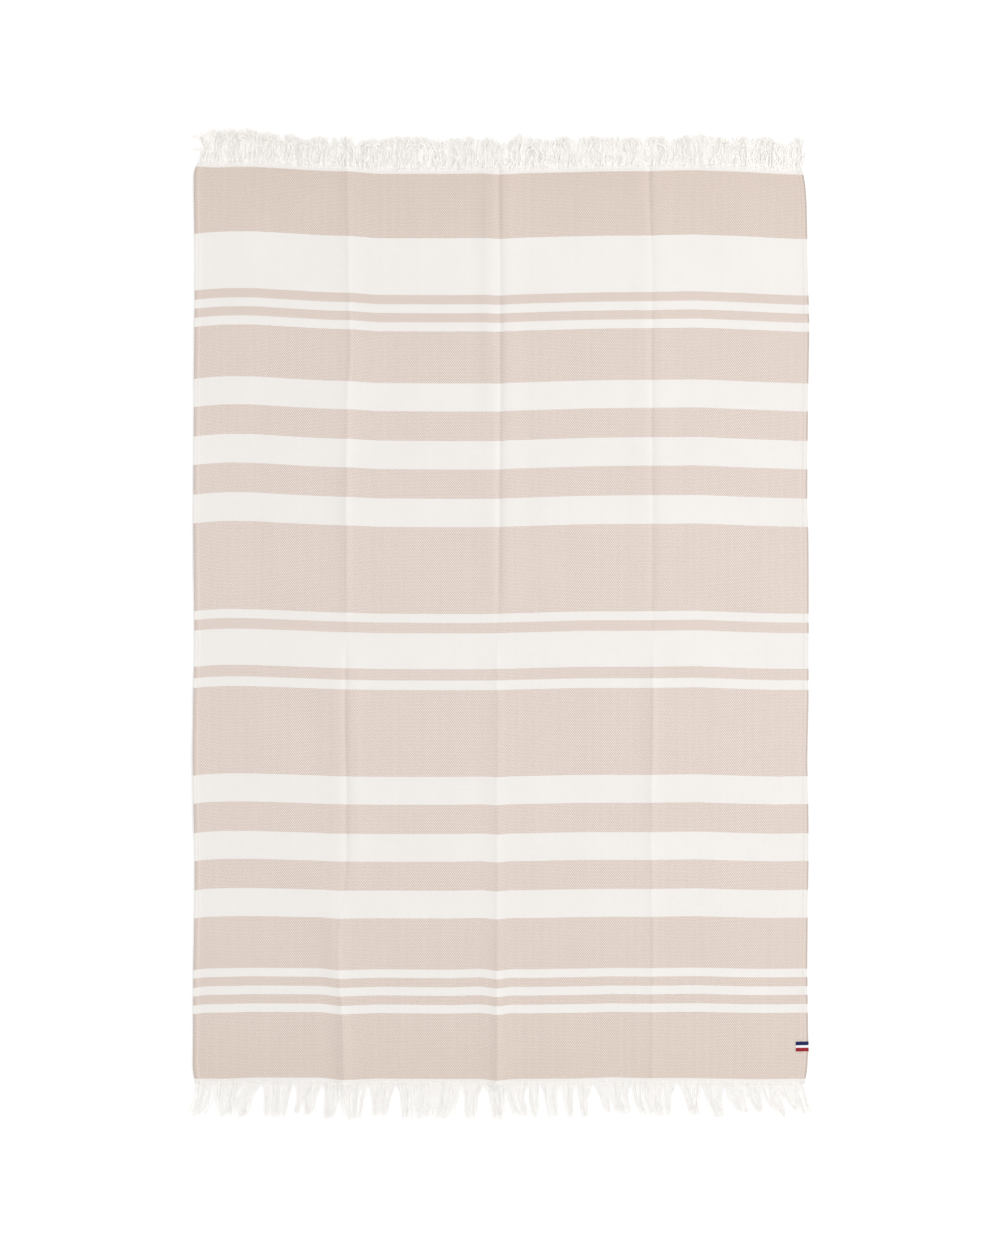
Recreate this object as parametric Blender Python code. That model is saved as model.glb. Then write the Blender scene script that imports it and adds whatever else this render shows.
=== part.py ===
"""Hammam towel laid flat and face up: one striped cotton sheet with turned side hems,
a fringe at each end and a small ribbon folded round its right edge.

Lengths are in metres. +X runs to the right across the towel, +Y along it, +Z up from the
floor at z = 0, and the origin is on the floor under the middle of the towel.
"""

import math
import random
from collections import namedtuple

import bmesh
import bpy
import numpy as np

# Cloth
CLOTH_HIGH_Y = 0.7440
CLOTH_LOW_Y = -0.7435
CLOTH_THICK = 0.0016
ROW_PITCH = 0.040
CORNER_ROWS = (0.008, 0.020)

# Edges that turn by more than this stay sharp
SHARP_ANGLE = math.radians(32.0)

# Side hems: a narrow double turn with a rounded outer edge
HEM_WIDTH = 0.0080
HEM_THICK = 0.0025
HEM_EDGE_THICK = 0.0015
HEM_ROUND = 0.0012
HEM_STEP = 0.0015

# Folding creases
CREASE_ROUND = 0.0030
RIDGE_REACH = 0.0120
VALLEY_REACH = 0.0110
CREASE_FADE_START = 0.0240
CREASE_FADE_END = 0.0440
CREASE_HALF_COLUMNS = (0.003, 0.007, 0.012, 0.019, 0.029, 0.044)
PANEL_COLUMNS = 2

# Fringes
STRIP_WIDTH = 0.0050
STRIP_THICK = 0.0014
STRIP_GAP = 0.0004
ROOT_SHARE = 0.76
ROOT_UNEVEN = 0.10
GAP_UNEVEN = 0.20
MID_SHARE = 0.84
HIGH_MID_SHARE = 0.92
LOW_LONG = (0.88, 1.00)
HIGH_LONG = (0.90, 1.04)
TIP_REACH = (0.20, 1.20)
TAPER = (1.0, 0.94, 0.82, 0.46)
LOCK_GAP = 0.0005
LOCK_MOST_WIDE = 0.0074
LOCK_LEAST_WIDE = 0.0016
LOCK_ROOT_HIGH = 0.0022
LOCK_TIP_HIGH = 0.0012
LOCK_TOP_SHARE = 0.62
RING_DEPTHS = (0.008, 0.018, 0.030)
TIP_DEPTH = 0.046
LAND_DEPTH = 0.016

# Ribbon folded round the right edge
TAG_Y = -0.6850
TAG_HIGH = 0.0160
TAG_LONG = 0.0212
TAG_UNDER_LONG = 0.0180
TAG_THICK = 0.0008
TAG_LIFT = 0.0012
TAG_CLEAR = 0.0004
TAG_FOLD_CLEAR = 0.0006
TAG_OUT = 0.0010
TAG_FOLD_STEPS = 6
TAG_LIFT_FLAT_X = 0.0240
TAG_LIFT_FADE_X = 0.0480
TAG_LIFT_FLAT_Y = 0.0100
TAG_LIFT_FADE_Y = 0.0300

# Side edges, a row for each height along the towel
Edge = namedtuple("Edge", "y left right")
EDGES = (
    Edge(-0.750, -0.4950, 0.4930),
    Edge(-0.737, -0.4980, 0.4960),
    Edge(-0.722, -0.5010, 0.4990),
    Edge(-0.690, -0.5015, 0.5005),
    Edge(-0.550, -0.5015, 0.4985),
    Edge(-0.450, -0.4990, 0.4985),
    Edge(-0.370, -0.4990, 0.5010),
    Edge(-0.280, -0.5015, 0.4995),
    Edge(-0.220, -0.5020, 0.4995),
    Edge(-0.120, -0.5015, 0.5015),
    Edge(-0.030, -0.4985, 0.5005),
    Edge(0.140, -0.5015, 0.5015),
    Edge(0.270, -0.4995, 0.4990),
    Edge(0.370, -0.4995, 0.4990),
    Edge(0.490, -0.4995, 0.5025),
    Edge(0.590, -0.4980, 0.4985),
    Edge(0.690, -0.5000, 0.4985),
    Edge(0.718, -0.5000, 0.4955),
    Edge(0.734, -0.4990, 0.4925),
    Edge(0.749, -0.4930, 0.4900),
)

# How far each weft line is pulled along the towel, at six heights
Bow = namedtuple("Bow", "x lowest low lower middle upper highest")
BOW_HEIGHTS = (-0.737, -0.600, -0.360, -0.040, 0.280, 0.683)
BOWS = (
    Bow(-0.485, 0.0000, 0.0000, 0.0010, 0.0030, 0.0045, 0.0055),
    Bow(-0.445, -0.0005, 0.0005, 0.0030, 0.0045, 0.0075, 0.0075),
    Bow(-0.400, 0.0015, 0.0015, 0.0030, 0.0040, 0.0070, 0.0080),
    Bow(-0.330, 0.0015, 0.0010, 0.0010, 0.0015, 0.0025, 0.0040),
    Bow(-0.290, 0.0015, 0.0010, -0.0005, 0.0000, 0.0005, 0.0015),
    Bow(-0.262, -0.0015, -0.0025, -0.0015, -0.0010, -0.0005, 0.0005),
    Bow(-0.240, -0.0020, -0.0020, -0.0015, -0.0015, -0.0010, 0.0000),
    Bow(-0.200, 0.0000, -0.0005, -0.0020, -0.0025, -0.0035, -0.0035),
    Bow(-0.080, -0.0010, -0.0015, -0.0020, -0.0030, -0.0045, -0.0035),
    Bow(-0.030, -0.0005, 0.0000, -0.0010, -0.0030, -0.0045, -0.0030),
    Bow(-0.004, -0.0035, -0.0035, -0.0030, -0.0025, -0.0045, -0.0050),
    Bow(0.018, -0.0010, -0.0005, -0.0010, -0.0020, -0.0030, -0.0040),
    Bow(0.040, -0.0005, -0.0010, -0.0010, -0.0015, -0.0025, -0.0025),
    Bow(0.130, 0.0000, 0.0000, 0.0010, 0.0010, 0.0005, -0.0005),
    Bow(0.180, 0.0020, 0.0015, 0.0010, 0.0010, 0.0015, 0.0005),
    Bow(0.240, 0.0005, 0.0010, 0.0010, 0.0010, 0.0020, 0.0005),
    Bow(0.280, 0.0010, 0.0015, 0.0015, 0.0015, 0.0020, 0.0020),
    Bow(0.320, 0.0005, 0.0020, 0.0020, 0.0020, 0.0025, 0.0025),
    Bow(0.400, -0.0010, 0.0000, -0.0005, -0.0010, -0.0010, -0.0005),
    Bow(0.450, -0.0010, 0.0000, -0.0015, -0.0025, -0.0025, -0.0035),
    Bow(0.490, 0.0000, 0.0005, -0.0005, -0.0025, -0.0040, -0.0050),
)

# The three lengthwise creases: where each runs, and its height. A height above 0 is a
# ridge, and one below 0 is a valley whose flanks stand that high. They change over at
# mid-length, where the towel was also folded across, and the left one again lower down.
Crease = namedtuple("Crease", "y left_x left_high centre_x centre_high right_x right_high")
CREASES = (
    Crease(-0.750, -0.2545, 0.0032, -0.0055, 0.0052, 0.2440, 0.0016),
    Crease(-0.640, -0.2560, 0.0034, -0.0055, 0.0048, 0.2450, 0.0018),
    Crease(-0.550, -0.2640, 0.0030, -0.0055, 0.0040, 0.2470, 0.0024),
    Crease(-0.490, -0.2660, 0.0024, -0.0055, 0.0036, 0.2470, 0.0026),
    Crease(-0.430, -0.2490, -0.0014, -0.0050, 0.0030, 0.2450, 0.0022),
    Crease(-0.350, -0.2490, -0.0022, -0.0050, 0.0028, 0.2450, 0.0028),
    Crease(-0.260, -0.2485, -0.0022, -0.0050, 0.0028, 0.2455, 0.0034),
    Crease(-0.170, -0.2510, -0.0030, -0.0050, 0.0032, 0.2475, 0.0046),
    Crease(-0.090, -0.2510, -0.0026, -0.0050, 0.0026, 0.2475, 0.0038),
    Crease(-0.035, -0.2500, -0.0006, -0.0060, 0.0016, 0.2480, 0.0004),
    Crease(0.010, -0.2500, 0.0022, -0.0015, -0.0006, 0.2485, -0.0004),
    Crease(0.060, -0.2500, 0.0040, -0.0010, -0.0028, 0.2485, -0.0014),
    Crease(0.230, -0.2495, 0.0050, -0.0005, -0.0026, 0.2485, -0.0012),
    Crease(0.300, -0.2490, 0.0042, 0.0000, -0.0024, 0.2470, -0.0020),
    Crease(0.370, -0.2485, 0.0038, 0.0010, -0.0024, 0.2470, -0.0014),
    Crease(0.440, -0.2430, 0.0044, 0.0010, -0.0032, 0.2470, -0.0018),
    Crease(0.540, -0.2455, 0.0034, 0.0005, -0.0020, 0.2480, -0.0010),
    Crease(0.610, -0.2460, 0.0030, 0.0000, -0.0018, 0.2470, -0.0010),
    Crease(0.700, -0.2485, 0.0038, -0.0010, -0.0028, 0.2425, -0.0022),
)

# The low fringe's clumps: where each is rooted, where it lies part way down and at its
# tips, how many locks it holds, and its length
Clump = namedtuple(
    "Clump", "root_left root_right mid_left mid_right tip_left tip_right locks long")
CLUMP_MID_DEPTH = 0.024
CLUMPS = (
    Clump(-0.4990, -0.4610, -0.5000, -0.4625, -0.5065, -0.4690, 4, 0.054),
    Clump(-0.4610, -0.4235, -0.4625, -0.4335, -0.4580, -0.4365, 4, 0.050),
    Clump(-0.4235, -0.3855, -0.4335, -0.4040, -0.4300, -0.4105, 4, 0.055),
    Clump(-0.3855, -0.3330, -0.3830, -0.3425, -0.3845, -0.3460, 6, 0.053),
    Clump(-0.3330, -0.3115, -0.3280, -0.3180, -0.3310, -0.3265, 2, 0.049),
    Clump(-0.3115, -0.2850, -0.3180, -0.3005, -0.3180, -0.3070, 3, 0.051),
    Clump(-0.2850, -0.2580, -0.2840, -0.2595, -0.2855, -0.2680, 3, 0.054),
    Clump(-0.2580, -0.2120, -0.2595, -0.2210, -0.2515, -0.2240, 5, 0.055),
    Clump(-0.2120, -0.1900, -0.2080, -0.1930, -0.2080, -0.1950, 3, 0.051),
    Clump(-0.1900, -0.1680, -0.1930, -0.1785, -0.1915, -0.1835, 2, 0.052),
    Clump(-0.1680, -0.0610, -0.1605, -0.0680, -0.1605, -0.0745, 12, 0.054),
    Clump(-0.0610, -0.0245, -0.0570, -0.0375, -0.0570, -0.0390, 4, 0.053),
    Clump(-0.0245, 0.0090, -0.0160, 0.0065, -0.0115, 0.0065, 4, 0.052),
    Clump(0.0090, 0.0455, 0.0115, 0.0405, 0.0210, 0.0470, 4, 0.050),
    Clump(0.0455, 0.0665, 0.0455, 0.0615, 0.0535, 0.0615, 2, 0.051),
    Clump(0.0665, 0.0990, 0.0745, 0.0940, 0.0780, 0.0960, 4, 0.052),
    Clump(0.0990, 0.1235, 0.1055, 0.1170, 0.1090, 0.1185, 2, 0.050),
    Clump(0.1235, 0.1525, 0.1300, 0.1410, 0.1330, 0.1410, 3, 0.051),
    Clump(0.1525, 0.1720, 0.1655, 0.1800, 0.1720, 0.1835, 2, 0.050),
    Clump(0.1720, 0.2125, 0.1800, 0.2060, 0.1865, 0.2145, 5, 0.049),
    Clump(0.2125, 0.2890, 0.2160, 0.2775, 0.2275, 0.2790, 9, 0.052),
    Clump(0.2890, 0.3280, 0.3035, 0.3230, 0.3100, 0.3230, 4, 0.049),
    Clump(0.3280, 0.3670, 0.3375, 0.3590, 0.3460, 0.3655, 4, 0.052),
    Clump(0.3670, 0.3945, 0.3700, 0.3995, 0.3880, 0.4075, 3, 0.047),
    Clump(0.3945, 0.4205, 0.3995, 0.4285, 0.4190, 0.4300, 3, 0.046),
    Clump(0.4205, 0.4545, 0.4285, 0.4625, 0.4515, 0.4675, 4, 0.052),
    Clump(0.4545, 0.4970, 0.4625, 0.5000, 0.4805, 0.5065, 5, 0.050),
)

# The high fringe's length along the end
Length = namedtuple("Length", "x long")
HIGH_LENGTHS = (
    Length(-0.500, 0.046),
    Length(-0.488, 0.052),
    Length(-0.404, 0.052),
    Length(-0.394, 0.044),
    Length(-0.260, 0.042),
    Length(-0.110, 0.040),
    Length(-0.100, 0.030),
    Length(-0.090, 0.040),
    Length(0.006, 0.030),
    Length(0.030, 0.045),
    Length(0.145, 0.044),
    Length(0.250, 0.044),
    Length(0.330, 0.045),
    Length(0.440, 0.040),
    Length(0.458, 0.030),
    Length(0.476, 0.038),
    Length(0.492, 0.029),
)
HIGH_LOCKS = 108
HIGH_SWAY = 0.0022
STRAY_LEAN = 0.007
HIGH_WOBBLE = 0.0006

# Finishes
Finish = namedtuple("Finish", "name red green blue rough")
CLOTH_FINISH = Finish("beige and cream cotton", 0.760, 0.662, 0.592, 0.92)
FRINGE_FINISH = Finish("cream cotton yarn", 0.880, 0.850, 0.800, 0.90)
TAG_FINISH = Finish("navy ribbon", 0.012, 0.018, 0.130, 0.60)


def clear_scene():
    """Remove everything that the scene starts with."""
    for obj in list(bpy.data.objects):
        bpy.data.objects.remove(obj, do_unlink=True)


def column(rows, name):
    """One named column of a table."""
    return [getattr(row, name) for row in rows]


def at(rows, key, value, name):
    """A table's column, read part way between its rows."""
    return float(np.interp(value, column(rows, key), column(rows, name)))


def fade(distance, start, end):
    """1 up to start, 0 from end on, and a soft fall between."""
    share = min(max((distance - start) / (end - start), 0.0), 1.0)
    return 1.0 - share * share * (3.0 - 2.0 * share)


def bow(x, y):
    """How far the weft is pulled along the towel at one point."""
    heights = [at(BOWS, "x", x, name) for name in Bow._fields[1:]]
    return float(np.interp(y, BOW_HEIGHTS, heights))


def crease_lift(distance, high):
    """The cloth's height above the floor beside one crease."""
    away = math.hypot(distance, CREASE_ROUND) - CREASE_ROUND
    softened = fade(abs(distance), CREASE_FADE_START, CREASE_FADE_END)
    if high >= 0.0:
        return high * math.exp(-away / RIDGE_REACH) * softened
    share = away / VALLEY_REACH
    return -high * share * math.exp(1.0 - share) * softened


def tag_lift(x, y):
    """The cloth's height above the floor where the ribbon passes under it."""
    inwards = at(EDGES, "y", y, "right") - x
    across = fade(inwards, TAG_LIFT_FLAT_X, TAG_LIFT_FADE_X)
    along = fade(abs(y - TAG_Y), TAG_LIFT_FLAT_Y, TAG_LIFT_FADE_Y)
    return TAG_LIFT * across * along


def lift(x, y):
    """The underside's height above the floor."""
    raised = tag_lift(x, y)
    for name in ("left", "centre", "right"):
        crease_x = at(CREASES, "y", y, name + "_x")
        high = at(CREASES, "y", y, name + "_high")
        raised += crease_lift(x - crease_x, high)
    return raised


def rows_along():
    """The heights along the towel at which the sheet has a row of points."""
    count = round((CLOTH_HIGH_Y - CLOTH_LOW_Y) / ROW_PITCH)
    even = np.linspace(CLOTH_LOW_Y, CLOTH_HIGH_Y, count + 1)
    near_tag = [TAG_Y + side * step for side in (-1.0, 1.0)
                for step in (TAG_LIFT_FLAT_Y, TAG_LIFT_FADE_Y)]
    kept = [y for y in even if abs(y - TAG_Y) > TAG_LIFT_FADE_Y]
    corners = [CLOTH_LOW_Y + inwards for inwards in CORNER_ROWS]
    corners += [CLOTH_HIGH_Y - inwards for inwards in CORNER_ROWS]
    return sorted(kept + near_tag + corners)


def columns_across(y):
    """The sheet's points across the towel at one height, as (x, thickness)."""
    left = at(EDGES, "y", y, "left")
    right = at(EDGES, "y", y, "right")
    hem = (
        (0.0, HEM_EDGE_THICK),
        (HEM_ROUND, HEM_THICK),
        (HEM_WIDTH, HEM_THICK),
        (HEM_WIDTH + HEM_STEP, CLOTH_THICK),
    )
    under_tag = ((TAG_LIFT_FLAT_X, CLOTH_THICK), (TAG_LIFT_FADE_X, CLOTH_THICK))
    stops = [(left + inwards, thick) for inwards, thick in hem]
    for name in ("left", "centre", "right"):
        crease_x = at(CREASES, "y", y, name + "_x")
        offsets = sorted([0.0] + [side * away for away in CREASE_HALF_COLUMNS
                                  for side in (-1.0, 1.0)])
        stops += panel(stops[-1][0], crease_x + offsets[0])
        stops += [(crease_x + offset, CLOTH_THICK) for offset in offsets]
    edge = [(right - inwards, thick) for inwards, thick in hem + under_tag]
    edge.sort()
    stops += panel(stops[-1][0], edge[0][0])
    return stops + edge


def panel(start, end):
    """Evenly spread points between two creases."""
    steps = PANEL_COLUMNS + 1
    return [(start + (end - start) * step / steps, CLOTH_THICK) for step in range(1, steps)]


def new_object(name, finish):
    """An empty mesh object in the scene, with its own material."""
    mesh = bpy.data.meshes.new(name)
    obj = bpy.data.objects.new(name, mesh)
    bpy.context.scene.collection.objects.link(obj)
    material = bpy.data.materials.new(finish.name)
    material.use_nodes = True
    shader = material.node_tree.nodes["Principled BSDF"]
    colour = (finish.red, finish.green, finish.blue, 1.0)
    shader.inputs["Base Color"].default_value = colour
    shader.inputs["Roughness"].default_value = finish.rough
    material.diffuse_color = colour
    mesh.materials.append(material)
    return obj


def finish_mesh(obj, made):
    """Put the built faces in the object, all facing out, smooth but for its sharp edges."""
    bmesh.ops.recalc_face_normals(made, faces=made.faces)
    made.to_mesh(obj.data)
    made.free()
    obj.data.shade_smooth()
    obj.data.set_sharp_from_angle(angle=SHARP_ANGLE)
    obj.data.update()


def build_cloth():
    """The sheet with its side hems, as one closed solid. Returns its two end rows."""
    obj = new_object("cloth", CLOTH_FINISH)
    made = bmesh.new()
    under, over = [], []
    for y in rows_along():
        low, high = [], []
        for x, thick in columns_across(y):
            z = lift(x, y)
            low.append(made.verts.new((x, y + bow(x, y), z)))
            high.append(made.verts.new((x, y + bow(x, y), z + thick)))
        under.append(low)
        over.append(high)
    rows, across = len(under), len(under[0])
    for row in range(rows - 1):
        for step in range(across - 1):
            for layer in (under, over):
                made.faces.new((layer[row][step], layer[row][step + 1],
                                layer[row + 1][step + 1], layer[row + 1][step]))
    for row in range(rows - 1):
        for step in (0, across - 1):
            made.faces.new((under[row][step], under[row + 1][step],
                            over[row + 1][step], over[row][step]))
    for step in range(across - 1):
        for row in (0, rows - 1):
            made.faces.new((under[row][step], under[row][step + 1],
                            over[row][step + 1], over[row][step]))
    ends = [[vert.co.copy() for vert in under[row]] for row in (0, rows - 1)]
    finish_mesh(obj, made)
    return ends


def spread_apart(centres, halves):
    """Centres moved as little as keeps neighbouring locks clear of each other."""
    needs = [halves[i] + halves[i + 1] + LOCK_GAP for i in range(len(halves) - 1)]
    forwards, backwards = list(centres), list(centres)
    for i, need in enumerate(needs):
        forwards[i + 1] = max(centres[i + 1], forwards[i] + need)
    for i in reversed(range(len(needs))):
        backwards[i] = min(centres[i], backwards[i + 1] - needs[i])
    return [(a + b) / 2.0 for a, b in zip(forwards, backwards)]


def even_roots(left, right, locks, rng):
    """Each lock's root along a strip, as (left, right). The first and last reach its ends."""
    shares = []
    for lock in range(locks):
        shares.append(ROOT_SHARE * rng.uniform(1.0 - ROOT_UNEVEN, 1.0 + ROOT_UNEVEN))
        if lock < locks - 1:
            uneven = rng.uniform(1.0 - GAP_UNEVEN, 1.0 + GAP_UNEVEN)
            shares.append((1.0 - ROOT_SHARE) * uneven)
    stops = left + (right - left) * np.concatenate([[0.0], np.cumsum(shares)]) / sum(shares)
    return [(float(stops[2 * lock]), float(stops[2 * lock + 1])) for lock in range(locks)]


def clump_roots(left, right, rng):
    """The low fringe's roots, as (left, right), clump by clump along its strip."""
    roots = []
    for clump in CLUMPS:
        gap = (1.0 - ROOT_SHARE) * (clump.root_right - clump.root_left) / clump.locks
        start = max(clump.root_left + gap / 2.0, left)
        end = min(clump.root_right - gap / 2.0, right)
        roots += even_roots(start, end, clump.locks, rng)
    roots[0] = (left, roots[0][1])
    roots[-1] = (roots[-1][0], right)
    return roots


def low_paths(roots, rng):
    """Where the low fringe's locks lie at each depth, and how wide and long they are."""
    mids, tips, wides, lengths = [], [], [], []
    for clump in CLUMPS:
        for lock in range(clump.locks):
            share = (lock + 0.5) / clump.locks
            mids.append(clump.mid_left + share * (clump.mid_right - clump.mid_left))
            tips.append(clump.tip_left + share * (clump.tip_right - clump.tip_left))
            pitch = (clump.mid_right - clump.mid_left) / clump.locks
            wides.append(min(pitch * MID_SHARE, LOCK_MOST_WIDE))
            lengths.append(clump.long * rng.uniform(*LOW_LONG))
    middles = [(a + b) / 2.0 for a, b in roots]
    stops = (0.0, CLUMP_MID_DEPTH, TIP_DEPTH)
    lines = []
    for depth in RING_DEPTHS + (TIP_DEPTH,):
        lines.append([float(np.interp(depth, stops, trio)) for trio in zip(middles, mids, tips)])
    return lines, wides, lengths


def high_roots(left, right, rng):
    """The high fringe's roots, as (left, right), evenly spread along its strip."""
    return even_roots(left, right, HIGH_LOCKS, rng)


def high_paths(roots, rng):
    """Where the high fringe's locks lie at each depth, and how wide and long they are."""
    middles = [(a + b) / 2.0 for a, b in roots]
    leans = [rng.uniform(-HIGH_SWAY, HIGH_SWAY) for _ in roots]
    leans[0] = -STRAY_LEAN
    lines = []
    for depth in RING_DEPTHS + (TIP_DEPTH,):
        share = depth / TIP_DEPTH
        lines.append([middle + lean * share + rng.uniform(-HIGH_WOBBLE, HIGH_WOBBLE)
                      for middle, lean in zip(middles, leans)])
    wides = [min((b - a) * HIGH_MID_SHARE, LOCK_MOST_WIDE) for a, b in roots]
    lengths = [at(HIGH_LENGTHS, "x", x, "long") * rng.uniform(*HIGH_LONG) for x in middles]
    return lines, wides, lengths


def lock_rings(index, lines, wides, length):
    """One lock's rings beyond its root, as (x, depth, half width, height)."""
    rings = []
    depths = RING_DEPTHS + (TIP_DEPTH,)
    for ring, depth in enumerate(depths):
        half = max(wides[index] * TAPER[ring], LOCK_LEAST_WIDE) / 2.0
        share = min(depth / TIP_DEPTH, 1.0)
        high = LOCK_ROOT_HIGH + (LOCK_TIP_HIGH - LOCK_ROOT_HIGH) * share
        rings.append((lines[ring][index], depth, half, high))
    before, last = rings[-2], rings[-1]
    least, most = TIP_REACH
    share = min(max((length - before[1]) / (last[1] - before[1]), least), most)
    reach = min(share, 1.0)
    x = before[0] + (last[0] - before[0]) * reach
    half = before[2] + (last[2] - before[2]) * reach
    rings[-1] = (x, before[1] + (last[1] - before[1]) * share, half, last[3])
    return rings


def build_fringe(name, end, outwards, lay_roots, lay_paths, seed):
    """A narrow strip along one end of the cloth with its locks fused to it, as one solid."""
    rng = random.Random(seed)
    ends_x = [point.x for point in end]

    def on_end(x, axis):
        return float(np.interp(x, ends_x, [getattr(point, axis) for point in end]))

    roots = lay_roots(ends_x[0], ends_x[-1], rng)
    lines, wides, lengths = lay_paths(roots, rng)
    halves = [[max(wide * share, LOCK_LEAST_WIDE) / 2.0 for wide in wides]
              for share in TAPER]
    lines = [spread_apart(line, half) for line, half in zip(lines, halves)]
    obj = new_object(name, FRINGE_FINISH)
    made = bmesh.new()
    stations = []
    for x in [side for root in roots for side in root]:
        y = on_end(x, "y") + outwards * STRIP_GAP
        z = on_end(x, "z")
        stations.append([
            made.verts.new((x, y, z)),
            made.verts.new((x, y, z + STRIP_THICK)),
            made.verts.new((x, y + outwards * STRIP_WIDTH, z + STRIP_THICK)),
            made.verts.new((x, y + outwards * STRIP_WIDTH, z)),
        ])
    for cell in range(len(stations) - 1):
        here, there = stations[cell], stations[cell + 1]
        is_gap = cell % 2 == 1
        for side in (0, 1, 2, 3) if is_gap else (0, 1, 3):
            after = (side + 1) % 4
            made.faces.new((here[side], here[after], there[after], there[side]))
    made.faces.new(stations[0])
    made.faces.new(stations[-1])
    for index in range(len(roots)):
        here, there = stations[2 * index], stations[2 * index + 1]
        ring = [here[3], here[2], there[2], there[3]]
        middle = sum(roots[index]) / 2.0
        root_y = on_end(middle, "y") + outwards * (STRIP_GAP + STRIP_WIDTH)
        root_z = on_end(middle, "z")
        for x, depth, half, high in lock_rings(index, lines, wides, lengths[index]):
            y = root_y + outwards * depth
            z = root_z * fade(depth, 0.0, LAND_DEPTH)
            upper = half * LOCK_TOP_SHARE
            after = [
                made.verts.new((x - half, y, z)),
                made.verts.new((x - upper, y, z + high)),
                made.verts.new((x + upper, y, z + high)),
                made.verts.new((x + half, y, z)),
            ]
            for side in range(4):
                turn = (side + 1) % 4
                made.faces.new((ring[side], ring[turn], after[turn], after[side]))
            ring = after
        made.faces.new(ring)
    finish_mesh(obj, made)


def ribbon_line(edge_x):
    """The folded ribbon's inner side from its upper end round the cloth's edge, as (x, z)."""
    hem_top = TAG_LIFT + HEM_THICK + TAG_CLEAR
    cloth_top = TAG_LIFT + CLOTH_THICK + TAG_CLEAR
    radius = (hem_top - TAG_THICK) / 2.0
    turn_x = edge_x + TAG_FOLD_CLEAR - radius
    hem_x = edge_x - HEM_WIDTH
    line = [
        (edge_x + TAG_OUT - TAG_LONG, cloth_top),
        (hem_x - HEM_STEP - TAG_CLEAR, cloth_top),
        (hem_x - TAG_CLEAR, hem_top),
    ]
    for step in range(TAG_FOLD_STEPS + 1):
        angle = math.pi / 2.0 - math.pi * step / TAG_FOLD_STEPS
        line.append((turn_x + radius * math.cos(angle),
                     TAG_THICK + radius + radius * math.sin(angle)))
    line.append((edge_x + TAG_OUT - TAG_UNDER_LONG, TAG_THICK))
    return line


def thickened(line):
    """The ribbon's outer side: its inner side moved out by its thickness."""
    outer = []
    for index, (x, z) in enumerate(line):
        before = line[max(index - 1, 0)]
        after = line[min(index + 1, len(line) - 1)]
        run = math.hypot(after[0] - before[0], after[1] - before[1])
        out_x = -(after[1] - before[1]) / run
        out_z = (after[0] - before[0]) / run
        outer.append((x + out_x * TAG_THICK, z + out_z * TAG_THICK))
    return outer


def build_tag():
    """The small ribbon folded round the right edge, as one solid."""
    obj = new_object("tag", TAG_FINISH)
    made = bmesh.new()
    inner = ribbon_line(at(EDGES, "y", TAG_Y, "right"))
    outer = thickened(inner)
    sides = []
    for y in (TAG_Y - TAG_HIGH / 2.0, TAG_Y + TAG_HIGH / 2.0):
        sides.append([[made.verts.new((x, y, z)) for x, z in line] for line in (inner, outer)])
    low, high = sides
    for step in range(len(inner) - 1):
        for layer in (0, 1):
            made.faces.new((low[layer][step], low[layer][step + 1],
                            high[layer][step + 1], high[layer][step]))
        for side in (low, high):
            made.faces.new((side[0][step], side[0][step + 1],
                            side[1][step + 1], side[1][step]))
    for step in (0, len(inner) - 1):
        made.faces.new((low[0][step], low[1][step], high[1][step], high[0][step]))
    finish_mesh(obj, made)


def main():
    """Build the towel's pieces."""
    clear_scene()
    low_end, high_end = build_cloth()
    build_fringe("fringe_low", low_end, -1.0, clump_roots, low_paths, seed=11)
    build_fringe("fringe_high", high_end, 1.0, high_roots, high_paths, seed=23)
    build_tag()


main()
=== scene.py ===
"""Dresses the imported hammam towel: banded cotton, two fringes of loose yarn, a folded ribbon.

Lengths are in metres, and in the tables in millimetres. +X runs to the right across the
towel, +Y along it away from the ribbon, +Z up from the floor at z = 0.
"""

import logging
import math
from dataclasses import dataclass, field
from enum import Enum
from typing import Any, Callable, NamedTuple, Sequence, Union

import bmesh
import bpy
import numpy as np
from mathutils import Matrix


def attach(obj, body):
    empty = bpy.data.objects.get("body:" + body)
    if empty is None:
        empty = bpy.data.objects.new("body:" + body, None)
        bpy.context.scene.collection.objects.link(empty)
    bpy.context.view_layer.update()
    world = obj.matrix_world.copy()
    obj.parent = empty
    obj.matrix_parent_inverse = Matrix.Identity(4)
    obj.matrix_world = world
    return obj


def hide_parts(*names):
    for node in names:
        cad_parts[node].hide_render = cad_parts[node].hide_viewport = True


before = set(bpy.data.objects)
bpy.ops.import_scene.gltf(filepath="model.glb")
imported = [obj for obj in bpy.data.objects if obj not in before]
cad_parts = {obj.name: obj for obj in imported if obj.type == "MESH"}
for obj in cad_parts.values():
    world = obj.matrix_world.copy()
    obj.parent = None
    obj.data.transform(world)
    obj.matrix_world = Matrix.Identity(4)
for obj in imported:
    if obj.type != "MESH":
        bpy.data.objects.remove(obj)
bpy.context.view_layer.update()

LOG = logging.getLogger("towel")
BODY = "root"
WEAVE_MAP = "weave"
EDGE_MAP = "from_edges"
CREASE_MAP = "from_creases"
MM = 0.001
HAIR = 1e-6
TURN = 2.0 * math.pi
Value = Union[float, "Wire"]
Colour = tuple[float, float, float]
Span = tuple[float, float]


# ---------------------------------------------------------------- tables of the towel


class Side(Enum):
    """A side edge of the cloth, by its column in EDGES."""

    LEFT = "left"
    RIGHT = "right"


class Fold(Enum):
    """A lengthwise crease, by its columns in CREASES."""

    LEFT = "left"
    CENTRE = "centre"
    RIGHT = "right"


class Beside(Enum):
    """What a line of tone lies beside."""

    LEFT_EDGE = "left edge"
    RIGHT_EDGE = "right edge"
    CREASE = "crease"


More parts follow.
